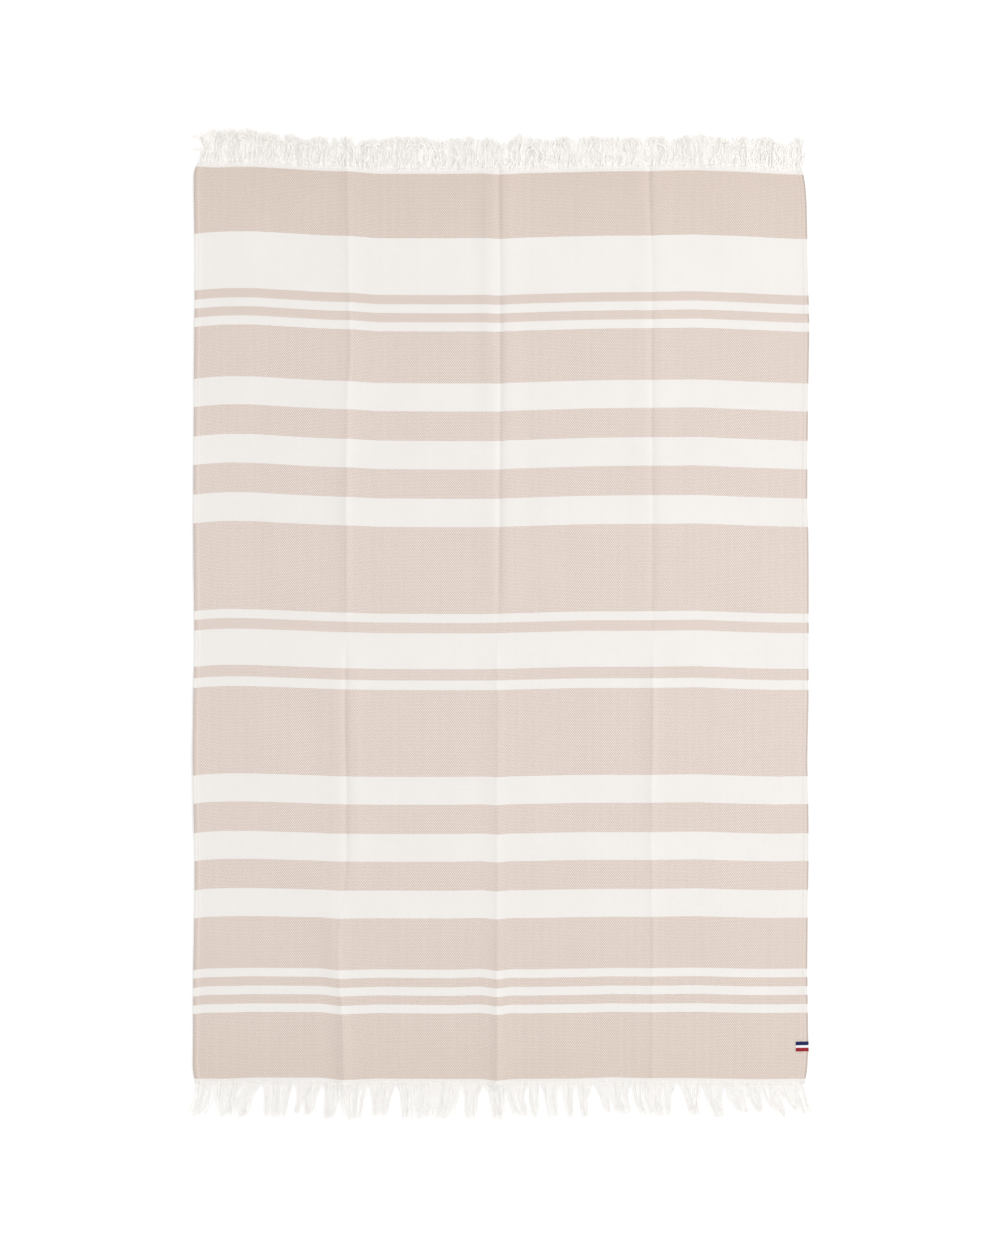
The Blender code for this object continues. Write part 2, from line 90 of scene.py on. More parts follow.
class Edge(NamedTuple):
    """Where the two side edges lie at one height along the towel."""

    y: float
    left: float
    right: float


class Bow(NamedTuple):
    """How far the weft is pulled along the towel at one place across it, at BOW_HEIGHTS."""

    x: float
    lowest: float
    low: float
    lower: float
    middle: float
    upper: float
    highest: float


class Crease(NamedTuple):
    """Where the three lengthwise creases lie at one height, and how high they stand."""

    y: float
    left_x: float
    left_high: float
    centre_x: float
    centre_high: float
    right_x: float
    right_high: float


class Wrinkle(NamedTuple):
    """A slight ridge between two places on the cloth."""

    start_x: float
    start_y: float
    end_x: float
    end_y: float
    high: float
    reach: float


class HemStep(NamedTuple):
    """The turned side hem in section: underside and face height at a distance inwards."""

    inwards: float
    under: float
    over: float


class Clump(NamedTuple):
    """One clump of yarns in the low fringe: its sides at root, part way and tips."""

    root_left: float
    root_right: float
    mid_left: float
    mid_right: float
    tip_left: float
    tip_right: float
    long: float


class Tuft(NamedTuple):
    """One tuft of the high fringe: its tip, its length, the dip after it, and the share of
    the way to its tip that its yarns are drawn."""

    x: float
    long: float
    dip: float
    gather: float


class SideTone(NamedTuple):
    """A line of lighter or darker tone: what it lies beside, what it adds in cream and in
    beige bands, and the distances between which it fades."""

    beside: Beside
    cream: float
    beige: float
    start: float
    end: float


class Grain(NamedTuple):
    """A soft noise: its sizes for each unit across and along, finer layers and start."""

    across: float
    along: float
    detail: float
    shift: float = 0.0


HIGH_HEADER_Y = 734.7
# Beige and cream by turns, from the high end, with beige first and last.
BAND_WIDTHS = (
    104.3, 92.0, 15.1, 14.4, 14.8, 14.7, 84.1, 45.4, 47.8, 46.4, 47.6, 46.5, 141.4, 14.4,
    17.2, 58.3, 18.6, 15.7, 140.9, 45.5, 47.6, 45.1, 47.1, 45.2, 83.2, 13.8, 14.8, 14.0,
    14.8, 14.0, 106.6)

EDGES = (
    Edge(-750, -492.5, 493.0),
    Edge(-737, -495.5, 496.0),
    Edge(-722, -498.5, 498.5),
    Edge(-690, -498.0, 500.0),
    Edge(-550, -497.5, 498.5),
    Edge(-450, -495.0, 499.5),
    Edge(-370, -495.5, 501.0),
    Edge(-280, -497.5, 500.0),
    Edge(-220, -498.5, 498.5),
    Edge(-120, -497.5, 500.5),
    Edge(-30, -495.5, 501.0),
    Edge(140, -497.5, 500.5),
    Edge(215, -497.5, 498.5),
    Edge(270, -497.0, 499.0),
    Edge(370, -496.5, 500.0),
    Edge(490, -495.5, 502.0),
    Edge(590, -495.0, 499.5),
    Edge(690, -496.5, 497.5),
    Edge(718, -497.0, 495.5),
    Edge(734, -496.0, 492.5),
    Edge(749, -483.0, 490.0),
)

BOW_HEIGHTS = (-737, -600, -360, -40, 280, 683)
BOWS = (
    Bow(-496, -0.5, -2.5, -1.0, 1.0, 3.0, 3.0),
    Bow(-480, 0.0, 0.0, 1.5, 3.0, 5.0, 5.5),
    Bow(-445, -0.5, 0.5, 3.0, 4.5, 7.5, 7.5),
    Bow(-400, 1.5, 1.5, 3.0, 4.0, 7.0, 8.0),
    Bow(-330, 1.5, 1.0, 1.0, 1.5, 2.5, 4.0),
    Bow(-290, 1.5, 1.0, -0.5, 0.0, 0.5, 1.5),
    Bow(-262, -1.5, -2.5, -1.5, -1.0, -0.5, 0.5),
    Bow(-240, -2.0, -2.0, -1.5, -1.5, -1.0, 0.0),
    Bow(-200, 0.0, -0.5, -2.0, -2.5, -3.5, -3.5),
    Bow(-80, -1.0, -1.5, -2.0, -3.0, -4.5, -3.5),
    Bow(-30, -0.5, 0.0, -1.0, -3.0, -4.5, -3.0),
    Bow(-4, -3.5, -3.5, -3.0, -2.5, -4.5, -5.0),
    Bow(18, -1.0, -0.5, -1.0, -2.0, -3.0, -4.0),
    Bow(40, -0.5, -1.0, -1.0, -1.5, -2.5, -2.5),
    Bow(130, 0.0, 0.0, 1.0, 1.0, 0.5, -0.5),
    Bow(180, 2.0, 1.5, 1.0, 1.0, 1.5, 0.5),
    Bow(240, 0.5, 1.0, 1.0, 1.0, 2.0, 0.5),
    Bow(280, 1.0, 1.5, 1.5, 1.5, 2.0, 2.0),
    Bow(320, 0.5, 2.0, 2.0, 2.0, 2.5, 2.5),
    Bow(400, -1.0, 0.0, -0.5, -1.0, -1.0, -0.5),
    Bow(450, -1.0, 0.0, -1.5, -2.5, -2.5, -3.5),
    Bow(490, 0.0, 0.5, -0.5, -2.5, -4.0, -5.0),
)

# A height above 0 is a ridge, and one below 0 a valley between flanks of that height.
CREASES = (
    Crease(-750, -254.5, 3.2, -5.5, 5.2, 244.0, 1.6),
    Crease(-640, -256.0, 3.4, -5.5, 4.8, 245.0, 1.8),
    Crease(-550, -264.0, 3.0, -5.5, 4.0, 247.0, 2.4),
    Crease(-490, -266.0, 2.4, -5.5, 3.6, 247.0, 2.6),
    Crease(-430, -249.0, -1.4, -5.0, 3.0, 245.0, 2.2),
    Crease(-350, -249.0, -2.2, -5.0, 2.8, 245.0, 2.8),
    Crease(-260, -248.5, -2.2, -5.0, 2.8, 245.5, 3.4),
    Crease(-170, -251.0, -3.0, -5.0, 3.2, 247.5, 4.6),
    Crease(-90, -251.0, -2.6, -5.0, 2.6, 247.5, 3.8),
    Crease(-35, -250.0, -0.6, -6.0, 1.6, 248.0, 0.4),
    Crease(10, -250.0, 2.2, -1.5, -0.6, 248.5, -0.4),
    Crease(60, -250.0, 4.0, -1.0, -2.8, 248.5, -1.4),
    Crease(230, -249.5, 5.0, -0.5, -2.6, 248.5, -1.2),
    Crease(300, -249.0, 4.2, 0.0, -2.4, 247.0, -2.0),
    Crease(370, -248.5, 3.8, 1.0, -2.4, 247.0, -1.4),
    Crease(440, -243.0, 4.4, 1.0, -3.2, 247.0, -1.8),
    Crease(540, -245.5, 3.4, 0.5, -2.0, 248.0, -1.0),
    Crease(610, -246.0, 3.0, 0.0, -1.8, 247.0, -1.0),
    Crease(700, -248.5, 3.8, -1.0, -2.8, 242.5, -2.2),
)

WRINKLES = (
    Wrinkle(30, -48, 172, -72, 1.1, 6.0),
    Wrinkle(-392, -400, -386, -735, 0.6, 7.0),
    Wrinkle(-492, -690, -452, -730, 0.8, 8.0),
    Wrinkle(350, -560, 362, -735, 0.5, 7.0),
    Wrinkle(-150, 735, -120, 560, 0.5, 9.0),
    Wrinkle(400, 735, 385, 600, 0.5, 8.0),
    Wrinkle(-22, 780, -20, 330, 1.0, 10.0),
    Wrinkle(-274, -440, -272, -600, 2.4, 16.0),
    Wrinkle(-256, -590, -254, -800, 2.2, 13.0),
)

HEM = (
    HemStep(0.0, 0.90, 1.20),
    HemStep(0.3, 0.40, 1.70),
    HemStep(0.9, 0.05, 2.15),
    HemStep(2.0, 0.00, 2.35),
    HemStep(3.6, 0.00, 2.35),
    HemStep(5.0, 0.03, 2.28),
    HemStep(5.7, 0.08, 2.15),
    HemStep(6.2, 0.12, 2.05),
    HemStep(6.7, 0.08, 2.10),
    HemStep(7.5, 0.03, 2.00),
    HemStep(8.3, 0.00, 1.65),
    HemStep(9.1, 0.00, 1.32),
    HemStep(10.0, 0.00, 1.20),
)

CLUMPS = (
    Clump(-499.0, -474.0, -498.5, -479.5, -506.0, -486.0, 54),
    Clump(-474.0, -461.0, -477.5, -464.0, -483.0, -470.0, 51),
    Clump(-461.0, -423.5, -462.5, -433.5, -458.0, -436.5, 50),
    Clump(-423.5, -385.5, -433.5, -404.0, -430.0, -410.5, 55),
    Clump(-385.5, -333.0, -383.0, -342.5, -384.5, -346.0, 53),
    Clump(-333.0, -311.5, -328.0, -318.0, -331.0, -326.5, 49),
    Clump(-311.5, -285.0, -318.0, -300.5, -318.0, -307.0, 51),
    Clump(-285.0, -258.0, -284.0, -259.5, -285.5, -268.0, 54),
    Clump(-258.0, -212.0, -259.5, -221.0, -251.5, -224.0, 55),
    Clump(-212.0, -190.0, -208.0, -193.0, -208.0, -195.0, 51),
    Clump(-190.0, -168.0, -193.0, -178.5, -191.5, -183.5, 52),
    Clump(-168.0, -61.0, -160.5, -68.0, -160.5, -74.5, 54),
    Clump(-61.0, -24.5, -57.0, -37.5, -57.0, -39.0, 53),
    Clump(-24.5, 9.0, -16.0, 6.5, -11.5, 6.5, 52),
    Clump(9.0, 45.5, 11.5, 40.5, 21.0, 47.0, 50),
    Clump(45.5, 66.5, 45.5, 61.5, 53.5, 61.5, 51),
    Clump(66.5, 99.0, 74.5, 94.0, 78.0, 96.0, 52),
    Clump(99.0, 123.5, 105.5, 117.0, 109.0, 118.5, 50),
    Clump(123.5, 152.5, 130.0, 141.0, 133.0, 141.0, 51),
    Clump(152.5, 172.0, 165.5, 180.0, 172.0, 183.5, 50),
    Clump(172.0, 212.5, 180.0, 206.0, 186.5, 214.5, 49),
    Clump(212.5, 289.0, 216.0, 277.5, 227.5, 279.0, 52),
    Clump(289.0, 328.0, 303.5, 323.0, 310.0, 323.0, 49),
    Clump(328.0, 367.0, 337.5, 359.0, 346.0, 365.5, 52),
    Clump(367.0, 394.5, 370.0, 399.5, 388.0, 407.5, 47),
    Clump(394.5, 420.5, 399.5, 428.5, 419.0, 430.0, 46),
    Clump(420.5, 454.5, 428.5, 462.5, 451.5, 467.5, 52),
    Clump(454.5, 497.0, 462.5, 500.0, 480.5, 506.5, 50),
)

TUFTS = (
    Tuft(-494, 63.0, 7.0, 0.75),
    Tuft(-440, 54.5, 5.5, 0.80),
    Tuft(-404, 56.0, 5.5, 0.75),
    Tuft(-377, 50.5, 4.0, 0.60),
    Tuft(-338, 50.0, 6.5, 0.50),
    Tuft(-291, 48.5, 5.5, 0.30),
    Tuft(-248, 52.0, 8.5, 0.60),
    Tuft(-208, 50.0, 3.0, 0.30),
    Tuft(-177, 52.5, 1.0, 0.30),
    Tuft(-143, 54.0, 1.0, 0.30),
    Tuft(-114, 52.5, 9.5, 0.40),
    Tuft(-76, 51.5, 3.0, 0.30),
    Tuft(-47, 54.5, 10.5, 0.60),
    Tuft(-18, 52.0, 11.5, 0.50),
    Tuft(31, 57.0, 4.0, 0.80),
    Tuft(58, 49.0, 5.0, 0.40),
    Tuft(102, 51.0, 5.5, 0.60),
    Tuft(149, 52.0, 6.0, 0.60),
    Tuft(188, 49.5, 2.5, 0.50),
    Tuft(221, 48.0, 3.0, 0.30),
    Tuft(256, 51.0, 7.5, 0.50),
    Tuft(300, 50.0, 1.0, 0.30),
    Tuft(331, 51.5, 3.0, 0.40),
    Tuft(357, 47.5, 4.0, 0.30),
    Tuft(394, 49.5, 3.0, 0.30),
    Tuft(438, 52.0, 13.0, 0.60),
    Tuft(482, 53.5, 4.0, 0.60),
)

SIDE_TONES = (
    SideTone(Beside.LEFT_EDGE, 0.0, -0.115, 3.4, 6.8),
    SideTone(Beside.LEFT_EDGE, 0.050, 0.0, 3.0, 7.0),
    SideTone(Beside.LEFT_EDGE, 0.0, 0.035, 7.2, 9.0),
    SideTone(Beside.RIGHT_EDGE, -0.100, -0.320, 1.6, 4.2),
    SideTone(Beside.RIGHT_EDGE, -0.030, 0.0, 3.0, 6.6),
    SideTone(Beside.RIGHT_EDGE, 0.035, 0.0, 7.0, 10.0),
    SideTone(Beside.RIGHT_EDGE, 0.015, 0.060, 10.0, 14.0),
    # Painted shade: a darker line along each crease.
    SideTone(Beside.CREASE, -0.004, -0.040, 1.0, 3.8),
)


# ---------------------------------------------------------------- small helpers


def column(rows: Sequence[NamedTuple], name: str, unit: float = MM) -> np.ndarray:
    """One named column of a table as an array, in metres unless it has another unit."""
    return np.array([getattr(row, name) for row in rows]) * unit


def read(rows: Sequence[NamedTuple], key: str, value: np.ndarray, name: str,
         soften: float = 0.0) -> np.ndarray:
    """Reads a table's column part way between its rows.

    Args:
        rows: The table, with its key column rising.
        key: The column that value is looked up in.
        value: Where to read.
        name: The column that is read.
        soften: How far to each side the reading is averaged, which rounds its corners.

    Returns:
        The column's value at each place.
    """
    keys, column_values = column(rows, key), column(rows, name)
    shifts = np.linspace(-soften, soften, 5)
    return np.mean([np.interp(value + shift, keys, column_values) for shift in shifts], axis=0)


def fade(distance: np.ndarray, start: float, end: float) -> np.ndarray:
    """1 up to start, 0 from end on, and a soft fall between.

    Args:
        distance: Distances in metres.
        start: Where the fall begins.
        end: Where it is complete.

    Returns:
        The share at each distance.
    """
    share = np.clip((distance - start) / (end - start), 0.0, 1.0)
    return 1.0 - share * share * (3.0 - 2.0 * share)


def deselect_all() -> None:
    """Leaves nothing selected, so that an operator acts on the new piece alone."""
    bpy.ops.object.select_all(action="DESELECT")


def add_map(mesh: bpy.types.Mesh, name: str, places: np.ndarray) -> None:
    """Gives a mesh a map that holds one position for each point.

    Args:
        mesh: The mesh.
        name: The map's name.
        places: One row of map position for each point.
    """
    layer = mesh.uv_layers.new(name=name)
    corners = np.empty(len(mesh.loops), dtype=np.int32)
    mesh.loops.foreach_get("vertex_index", corners)
    layer.data.foreach_set("uv", places[corners].astype(np.float32).ravel())


def mesh_object(name: str, points: np.ndarray, faces: list[list[int]],
                uvs: np.ndarray, smooth: bool = True) -> bpy.types.Object:
    """Makes a mesh object from points, faces and a map position for each point.

    Args:
        name: The piece's name.
        points: One row of x, y, z for each point.
        faces: Each face's points, anticlockwise seen from outside.
        uvs: One row of map position for each point.
        smooth: Whether its faces shade into each other.

    Returns:
        The new object, linked to the scene.
    """
    mesh = bpy.data.meshes.new(name)
    mesh.from_pydata(points.tolist(), [], faces)
    add_map(mesh, WEAVE_MAP, uvs)
    if smooth:
        mesh.shade_smooth()
    mesh.validate()
    obj = bpy.data.objects.new(name, mesh)
    bpy.context.scene.collection.objects.link(obj)
    return obj


# ---------------------------------------------------------------- shader expressions


def operator(kind: str, swapped: bool = False) -> Callable[["Wire", Value], "Wire"]:
    """Makes a Python operator on wires that adds a Math node.

    Args:
        kind: The node's operation.
        swapped: Whether the other value comes first.

    Returns:
        The operator's method.
    """
    def add_node(wire: "Wire", other: Value) -> "Wire":
        """Adds the node and returns its result."""
        return wire.graph.math(kind, *((other, wire) if swapped else (wire, other)))

    return add_node


class Wire:
    """A shader socket that takes part in Python expressions."""

    __add__ = __radd__ = operator("ADD")
    __sub__ = operator("SUBTRACT")
    __rsub__ = operator("SUBTRACT", swapped=True)
    __mul__ = __rmul__ = operator("MULTIPLY")
    __truediv__ = operator("DIVIDE")
    __mod__ = operator("FLOORED_MODULO")
    __lt__ = operator("LESS_THAN")
    __gt__ = operator("GREATER_THAN")

    def __init__(self, graph: "Graph", socket: bpy.types.NodeSocket) -> None:
        """Keeps the socket and the graph that its expressions add nodes to."""
        self.graph = graph
        self.socket = socket

    def floor(self) -> "Wire":
        """The whole number below this."""
        return self.graph.math("FLOOR", self)

    def pingpong(self, most: float) -> "Wire":
        """This folded to and fro between 0 and most."""
        return self.graph.math("PINGPONG", self, most)

    def near(self, start: float, end: float) -> "Wire":
        """1 where this is up to start, 0 from end on, and a soft fall between."""
        made = self.graph.node("ShaderNodeMapRange", {"interpolation_type": "SMOOTHSTEP"},
                               {0: self, 1: start, 2: end, 3: 1.0, 4: 0.0})
        return self.graph.out(made)

    def hump(self) -> "Wire":
        """A rounded hump, 0 at each whole number and 1 half way between."""
        part = self.graph.math("FRACT", self)
        return 4.0 * part * (1.0 - part)


class Graph:
    """The node tree of one material, filled by expressions."""

    noise_rough = 0.5
    sheen_rough = 0.5
    shine = 0.2

    def __init__(self, name: str) -> None:
        """Starts a material with an output and a principled shader.

        Args:
            name: The material's name.
        """
        self.material = bpy.data.materials.new(name)
        self.material.use_nodes = True
        self.tree = self.material.node_tree
        self.tree.nodes.clear()
        self.output = self.tree.nodes.new("ShaderNodeOutputMaterial")
        self.shader = self.tree.nodes.new("ShaderNodeBsdfPrincipled")
        self.tree.links.new(self.shader.outputs["BSDF"], self.output.inputs["Surface"])

    def node(self, kind: str, settings: dict[str, Any] | None = None,
             sockets: dict[Any, Any] | None = None) -> bpy.types.Node:
        """Adds any node.

        Args:
            kind: The node's type.
            settings: Its own settings, which are set first.
            sockets: A value or a Wire for each input, by name or number.

        Returns:
            The new node.
        """
        made = self.tree.nodes.new(kind)
        for key, setting in (settings or {}).items():
            setattr(made, key, setting)
        for key, value in (sockets or {}).items():
            self.feed(made.inputs[key], value)
        return made

    def feed(self, socket: bpy.types.NodeSocket, value: Any) -> None:
        """Links a Wire to an input, or sets the input to a value.

        Args:
            socket: The input.
            value: What it gets.
        """
        if isinstance(value, Wire):
            self.tree.links.new(value.socket, socket)
        else:
            socket.default_value = value

    def out(self, node: bpy.types.Node, name: Any = 0) -> Wire:
        """One of a node's outputs as a Wire."""
        return Wire(self, node.outputs[name])

    def math(self, operation: str, *values: Value) -> Wire:
        """Adds a Math node and returns its result."""
        made = self.node("ShaderNodeMath", {"operation": operation}, dict(enumerate(values)))
        return self.out(made)

    def mix(self, share: Value, first: Any, second: Any, blend: str = "MIX") -> Wire:
        """Mixes two colours.

        Args:
            share: How much of the second shows.
            first: A colour or a Wire.
            second: A colour or a Wire.
            blend: The way of mixing.

        Returns:
            The mixed colour.
        """
        ends = [(*end, 1.0) if isinstance(end, tuple) else end for end in (first, second)]
        made = self.node("ShaderNodeMix", {"data_type": "RGBA", "blend_type": blend},
                         {0: share, 6: ends[0], 7: ends[1]})
        return self.out(made, 2)

    def shade(self, colour: Any, amount: Wire) -> Wire:
        """A colour made lighter or darker by a number."""
        grey = self.out(self.node("ShaderNodeCombineColor", None,
                                  {0: amount, 1: amount, 2: amount}))
        return self.mix(1.0, colour, grey, "MULTIPLY")

    def split(self, place: Wire) -> tuple[Wire, Wire]:
        """A place's first two coordinates."""
        parts = self.node("ShaderNodeSeparateXYZ", None, {0: place})
        return self.out(parts, 0), self.out(parts, 1)

    def map_place(self, name: str = WEAVE_MAP) -> tuple[Wire, Wire]:
        """One of the piece's own maps, across and along, in metres."""
        return self.split(self.out(self.node("ShaderNodeUVMap", {"uv_map": name})))

    def noise(self, across: Value, along: Value, grain: Grain) -> Wire:
        """Soft noise from 0 to 1.

        Args:
            across: The first coordinate.
            along: The second coordinate.
            grain: Its sizes for each unit of them, its finer layers and its start.

        Returns:
            The noise's value.
        """
        start = across * grain.across + grain.shift if grain.shift else across * grain.across
        place = self.out(self.node("ShaderNodeCombineXYZ", None,
                                   {0: start, 1: along * grain.along}))
        made = self.node("ShaderNodeTexNoise", {"noise_dimensions": "2D"},
                         {"Vector": place, "Scale": 1.0, "Detail": grain.detail,
                          "Roughness": self.noise_rough})
        return self.out(made)

    def bump(self, height: Wire, deep: float, strength: float = 1.0) -> None:
        """Feeds a height to the shader's normal.

        Args:
            height: The height, from 0 to 1.
            deep: What 1 stands for, in metres.
            strength: How strongly it shows.
        """
        made = self.node("ShaderNodeBump", None,
                         {"Height": height, "Distance": deep, "Strength": strength})
        self.feed(self.shader.inputs["Normal"], self.out(made))

    def surface(self, colour: Any, rough: float, sheen: float = 0.0) -> None:
        """Feeds the shader's colour and sets how it takes the light.

        Args:
            colour: A colour or a Wire.
            rough: Its roughness.
            sheen: The soft light of loose fibres at its rim.
        """
        looks = {"Base Color": colour, "Roughness": rough, "Sheen Weight": sheen,
                 "Sheen Roughness": self.sheen_rough, "Specular IOR Level": self.shine}
        for name, value in looks.items():
            self.feed(self.shader.inputs[name], value)


# ---------------------------------------------------------------- finishes


@dataclass(frozen=True)
class BandedCotton:
    """Cream warp woven with beige and cream weft, in a small bird's-eye diamond."""

    weft_beige: Colour = (0.646, 0.524, 0.462)
    # Painted shade: the weft is darker towards both ends of the towel, and with peek_ends less
    # cream warp shows there.
    weft_beige_shaded_ends: Colour = (0.617, 0.499, 0.425)
    warp_cream: Colour = (0.831, 0.797, 0.766)
    weft_cream: Colour = (0.846, 0.816, 0.788)
    warp_pitch: float = 0.00046
    weft_pitch: float = 0.00045
    half_repeat_across: float = 4.0
    half_repeat_along: float = 5.0
    eye: float = 2.5
    peek: float = 0.15
    peek_ends: float = 0.27
    middle_y: float = -0.03
    half_long: float = 0.77
    jitter: float = 0.0014
    band_jitter: float = 0.0006
    sways: Grain = Grain(90.0, 90.0, 2.0)
    drifts: Grain = Grain(70.0, 70.0, 2.0, 31.0)
    streaks: Grain = Grain(180.0, 2.5, 3.0)
    slubs: Grain = Grain(9.0, 0.9, 2.0)
    clouds: Grain = Grain(11.0, 9.0, 3.0)
    mottles: Grain = Grain(430.0, 430.0, 2.0)
    tone: float = 0.930
    streak: Span = (0.020, 0.050)
    slub: float = 0.045
    cloud: float = 0.035
    mottle: float = 0.15
    warp_high: Span = (0.45, 1.0)
    weft_high: float = 0.75
    # Painted shade in the hollows between the yarns.
    painted_gap_shade: float = 0.10
    relief: float = 0.00016
    strength: float = 0.7
    rough: float = 0.90
    sheen: float = 0.12

    def bands(self, along: Wire) -> Wire:
        """Tells the beige bands from the cream ones.

        Args:
            along: The place along the cloth.

        Returns:
            1 in the beige bands and 0 in the cream ones.
        """
        place, mask = HIGH_HEADER_Y, 0.0
        for number, wide in enumerate(BAND_WIDTHS):
            if number % 2 == 0:
                mask = mask + (along < place * MM) - (along < (place - wide) * MM)
            place -= wide
        return mask

    def side_tone(self, graph: Graph, beige: Wire) -> Wire:
        """The lighter and darker lines along the side hems, and the painted shade along the
        creases.

        Args:
            graph: The material's graph.
            beige: The mask of the beige bands.

        Returns:
            The added tone.
        """
        away = dict(zip(Beside, (*graph.map_place(EDGE_MAP), graph.map_place(CREASE_MAP)[0])))
        total = 0.0
        for row in SIDE_TONES:
            amount = row.cream + (row.beige - row.cream) * beige
            total = total + amount * away[row.beside].near(row.start * MM, row.end * MM)
        return total

    def make(self) -> bpy.types.Material:
        """Builds the material.

        Returns:
            The finished material.
        """
        graph = Graph("banded_cotton")
        across, along = graph.map_place()
        sway = graph.noise(across, along, self.sways) - 0.5
        drift = graph.noise(across, along, self.drifts) - 0.5
        ends = (across + self.jitter * sway) / self.warp_pitch
        picks = (along + self.jitter * drift) / self.weft_pitch
        beige = self.bands(along + self.band_jitter * drift)
        ring = (ends.floor().pingpong(self.half_repeat_across)
                + picks.floor().pingpong(self.half_repeat_along))
        whole = self.half_repeat_across + self.half_repeat_along
        eye = (ring < self.eye) + (ring > whole - self.eye)
        plain = ((ends.floor() + picks.floor()) % 2.0) < 1.0
        warp_up = beige * eye + (1.0 - beige) * plain
        low, high = self.warp_high
        height = (warp_up * (low + (high - low) * ends.hump())
                  + (1.0 - warp_up) * self.weft_high * picks.hump())
        # Painted shade: the beige bands darken towards both ends of the towel, through a darker
        # weft and less cream warp showing.
        far = graph.math("ABSOLUTE", along - self.middle_y) / self.half_long
        end_shade = far * far * far
        beige_dye_and_end_shade = graph.mix(end_shade, self.weft_beige, self.weft_beige_shaded_ends)
        weft = graph.mix(beige, self.weft_cream, beige_dye_and_end_shade)
        peek = self.peek + self.peek_ends * end_shade
        yarn = graph.mix(warp_up * (1.0 - peek * beige), weft, self.warp_cream)
        in_cream, in_beige = self.streak
        tone = (self.tone
                + (in_cream + (in_beige - in_cream) * beige)
                * graph.noise(across, along, self.streaks)
                + self.slub * graph.noise(across, picks, self.slubs)
                + self.cloud * graph.noise(across, along, self.clouds)
                + self.mottle * beige * (graph.noise(across, along, self.mottles) - 0.5)
                + self.side_tone(graph, beige))
        # Painted shade: darker where the yarns sink between each other.
        depth = (1.0 - self.painted_gap_shade) + self.painted_gap_shade * height
        graph.surface(graph.shade(yarn, tone * depth), self.rough, self.sheen)
        graph.bump(height, self.relief, self.strength)
        return graph.material


@dataclass(frozen=True)
class FringeYarn:
    """Loose two-ply cotton yarn: a soft twist and a little difference from yarn to yarn. Its
    colour holds painted shade in the twist's grooves and on a few locks, and painted light in a
    cream paler than the cloth's and towards the tips.
    """

    name: str
    # Painted light: the yarn's cream is paler than the cloth's warp, to make up for the shade
    # between the yarns.
    cream: Colour
    root_cream: Colour = (0.885, 0.850, 0.816)
    woven_in: Span = (0.0034, 0.0074)
    # Painted shade: a few locks are made darker, standing for the shadow between locks.
    painted_shade_lock_share: float = 0.17
    painted_lock_shade: float = 0.090
    lock_yarns: float = 4.0
    # Painted light: the yarns are paler towards their tips, against the shade where they curl and
    # stack.
    painted_tip_light: float = 0.025
    tip: Span = (0.026, 0.044)
    tone: float = 0.948
    each: float = 0.030
    # Painted shade in the grooves of the twist.
    ply: float = 0.012
    fuzz: float = 0.015
    numbers: Grain = Grain(7.3, 0.5, 0.0)
    fuzzes: Grain = Grain(40.0, 2500.0, 2.0)
    twist_pitch: float = 0.0016
    relief: float = 0.00010
    strength: float = 0.6
    rough: float = 0.92
    sheen: float = 0.2

    def painted_shade_locks(self, graph: Graph, number: Wire) -> Wire:
        """1 on the few locks that get painted shade, standing for the shadow between locks, and 0
        on the others.
        """
        lock = (number / self.lock_yarns).floor()
        made = graph.node("ShaderNodeTexWhiteNoise", {"noise_dimensions": "1D"}, {"W": lock})
        return graph.out(made) < self.painted_shade_lock_share

    def make(self) -> bpy.types.Material:
        """Builds the material. Its map holds a number for each yarn plus the way round
        it, and the distance along it.

        Returns:
            The finished material.
        """
        graph = Graph(self.name)
        around, along = graph.map_place()
        twist = (along / self.twist_pitch + 2.0 * around).hump()
        each = graph.noise(around.floor(), 1.0, self.numbers)
        # Painted shade in the twist's grooves and on a few locks, and painted light towards the
        # tips.
        tone = (self.tone + self.each * each + self.ply * twist
                + self.fuzz * graph.noise(around, along, self.fuzzes)
                - self.painted_lock_shade * self.painted_shade_locks(graph, around)
                + self.painted_tip_light * (1.0 - along.near(*self.tip)))
        colour = graph.mix(along.near(*self.woven_in), self.cream, self.root_cream)
        graph.surface(graph.shade(colour, tone), self.rough, self.sheen)
        graph.bump(twist, self.relief, self.strength)
        return graph.material


@dataclass(frozen=True)
class TricolourRibbon:
    """A ribbed ribbon in three stripes, navy, white and red."""

    navy: Colour = (0.004, 0.010, 0.085)
    white: Colour = (0.820, 0.800, 0.830)
    red: Colour = (0.290, 0.006, 0.017)
    outer_share: float = 0.375
    rib_pitch: float = 0.0007
    tone: float = 0.80
    rib: float = 0.16
    fine: float = 0.06
    fuzz: float = 0.10
    fuzzes: Grain = Grain(3000.0, 3000.0, 1.0)
    rib_share: float = 0.8
    relief: float = 0.00012
    rough: float = 0.55
    sheen: float = 0.1

    def make(self, wide: float) -> bpy.types.Material:
        """Builds the material.

        Args:
            wide: The ribbon's width, across its stripes.

        Returns:
            The finished material.
        """
        graph = Graph("tricolour_ribbon")
        across, along = graph.map_place()
        low = graph.mix(across > wide * self.outer_share, self.red, self.white)
        colour = graph.mix(across > wide * (1.0 - self.outer_share), low, self.navy)
        rib = (along / self.rib_pitch).hump()
        fine = (across / (self.rib_pitch / 2.0)).hump()
        # Painted shade: darker in the grooves between the ribs.
        tone = (self.tone + self.rib * rib + self.fine * fine
                + self.fuzz * graph.noise(across, along, self.fuzzes))
        graph.surface(graph.shade(colour, tone), self.rough, self.sheen)
        graph.bump(rib * self.rib_share + fine * (1.0 - self.rib_share), self.relief)
        return graph.material


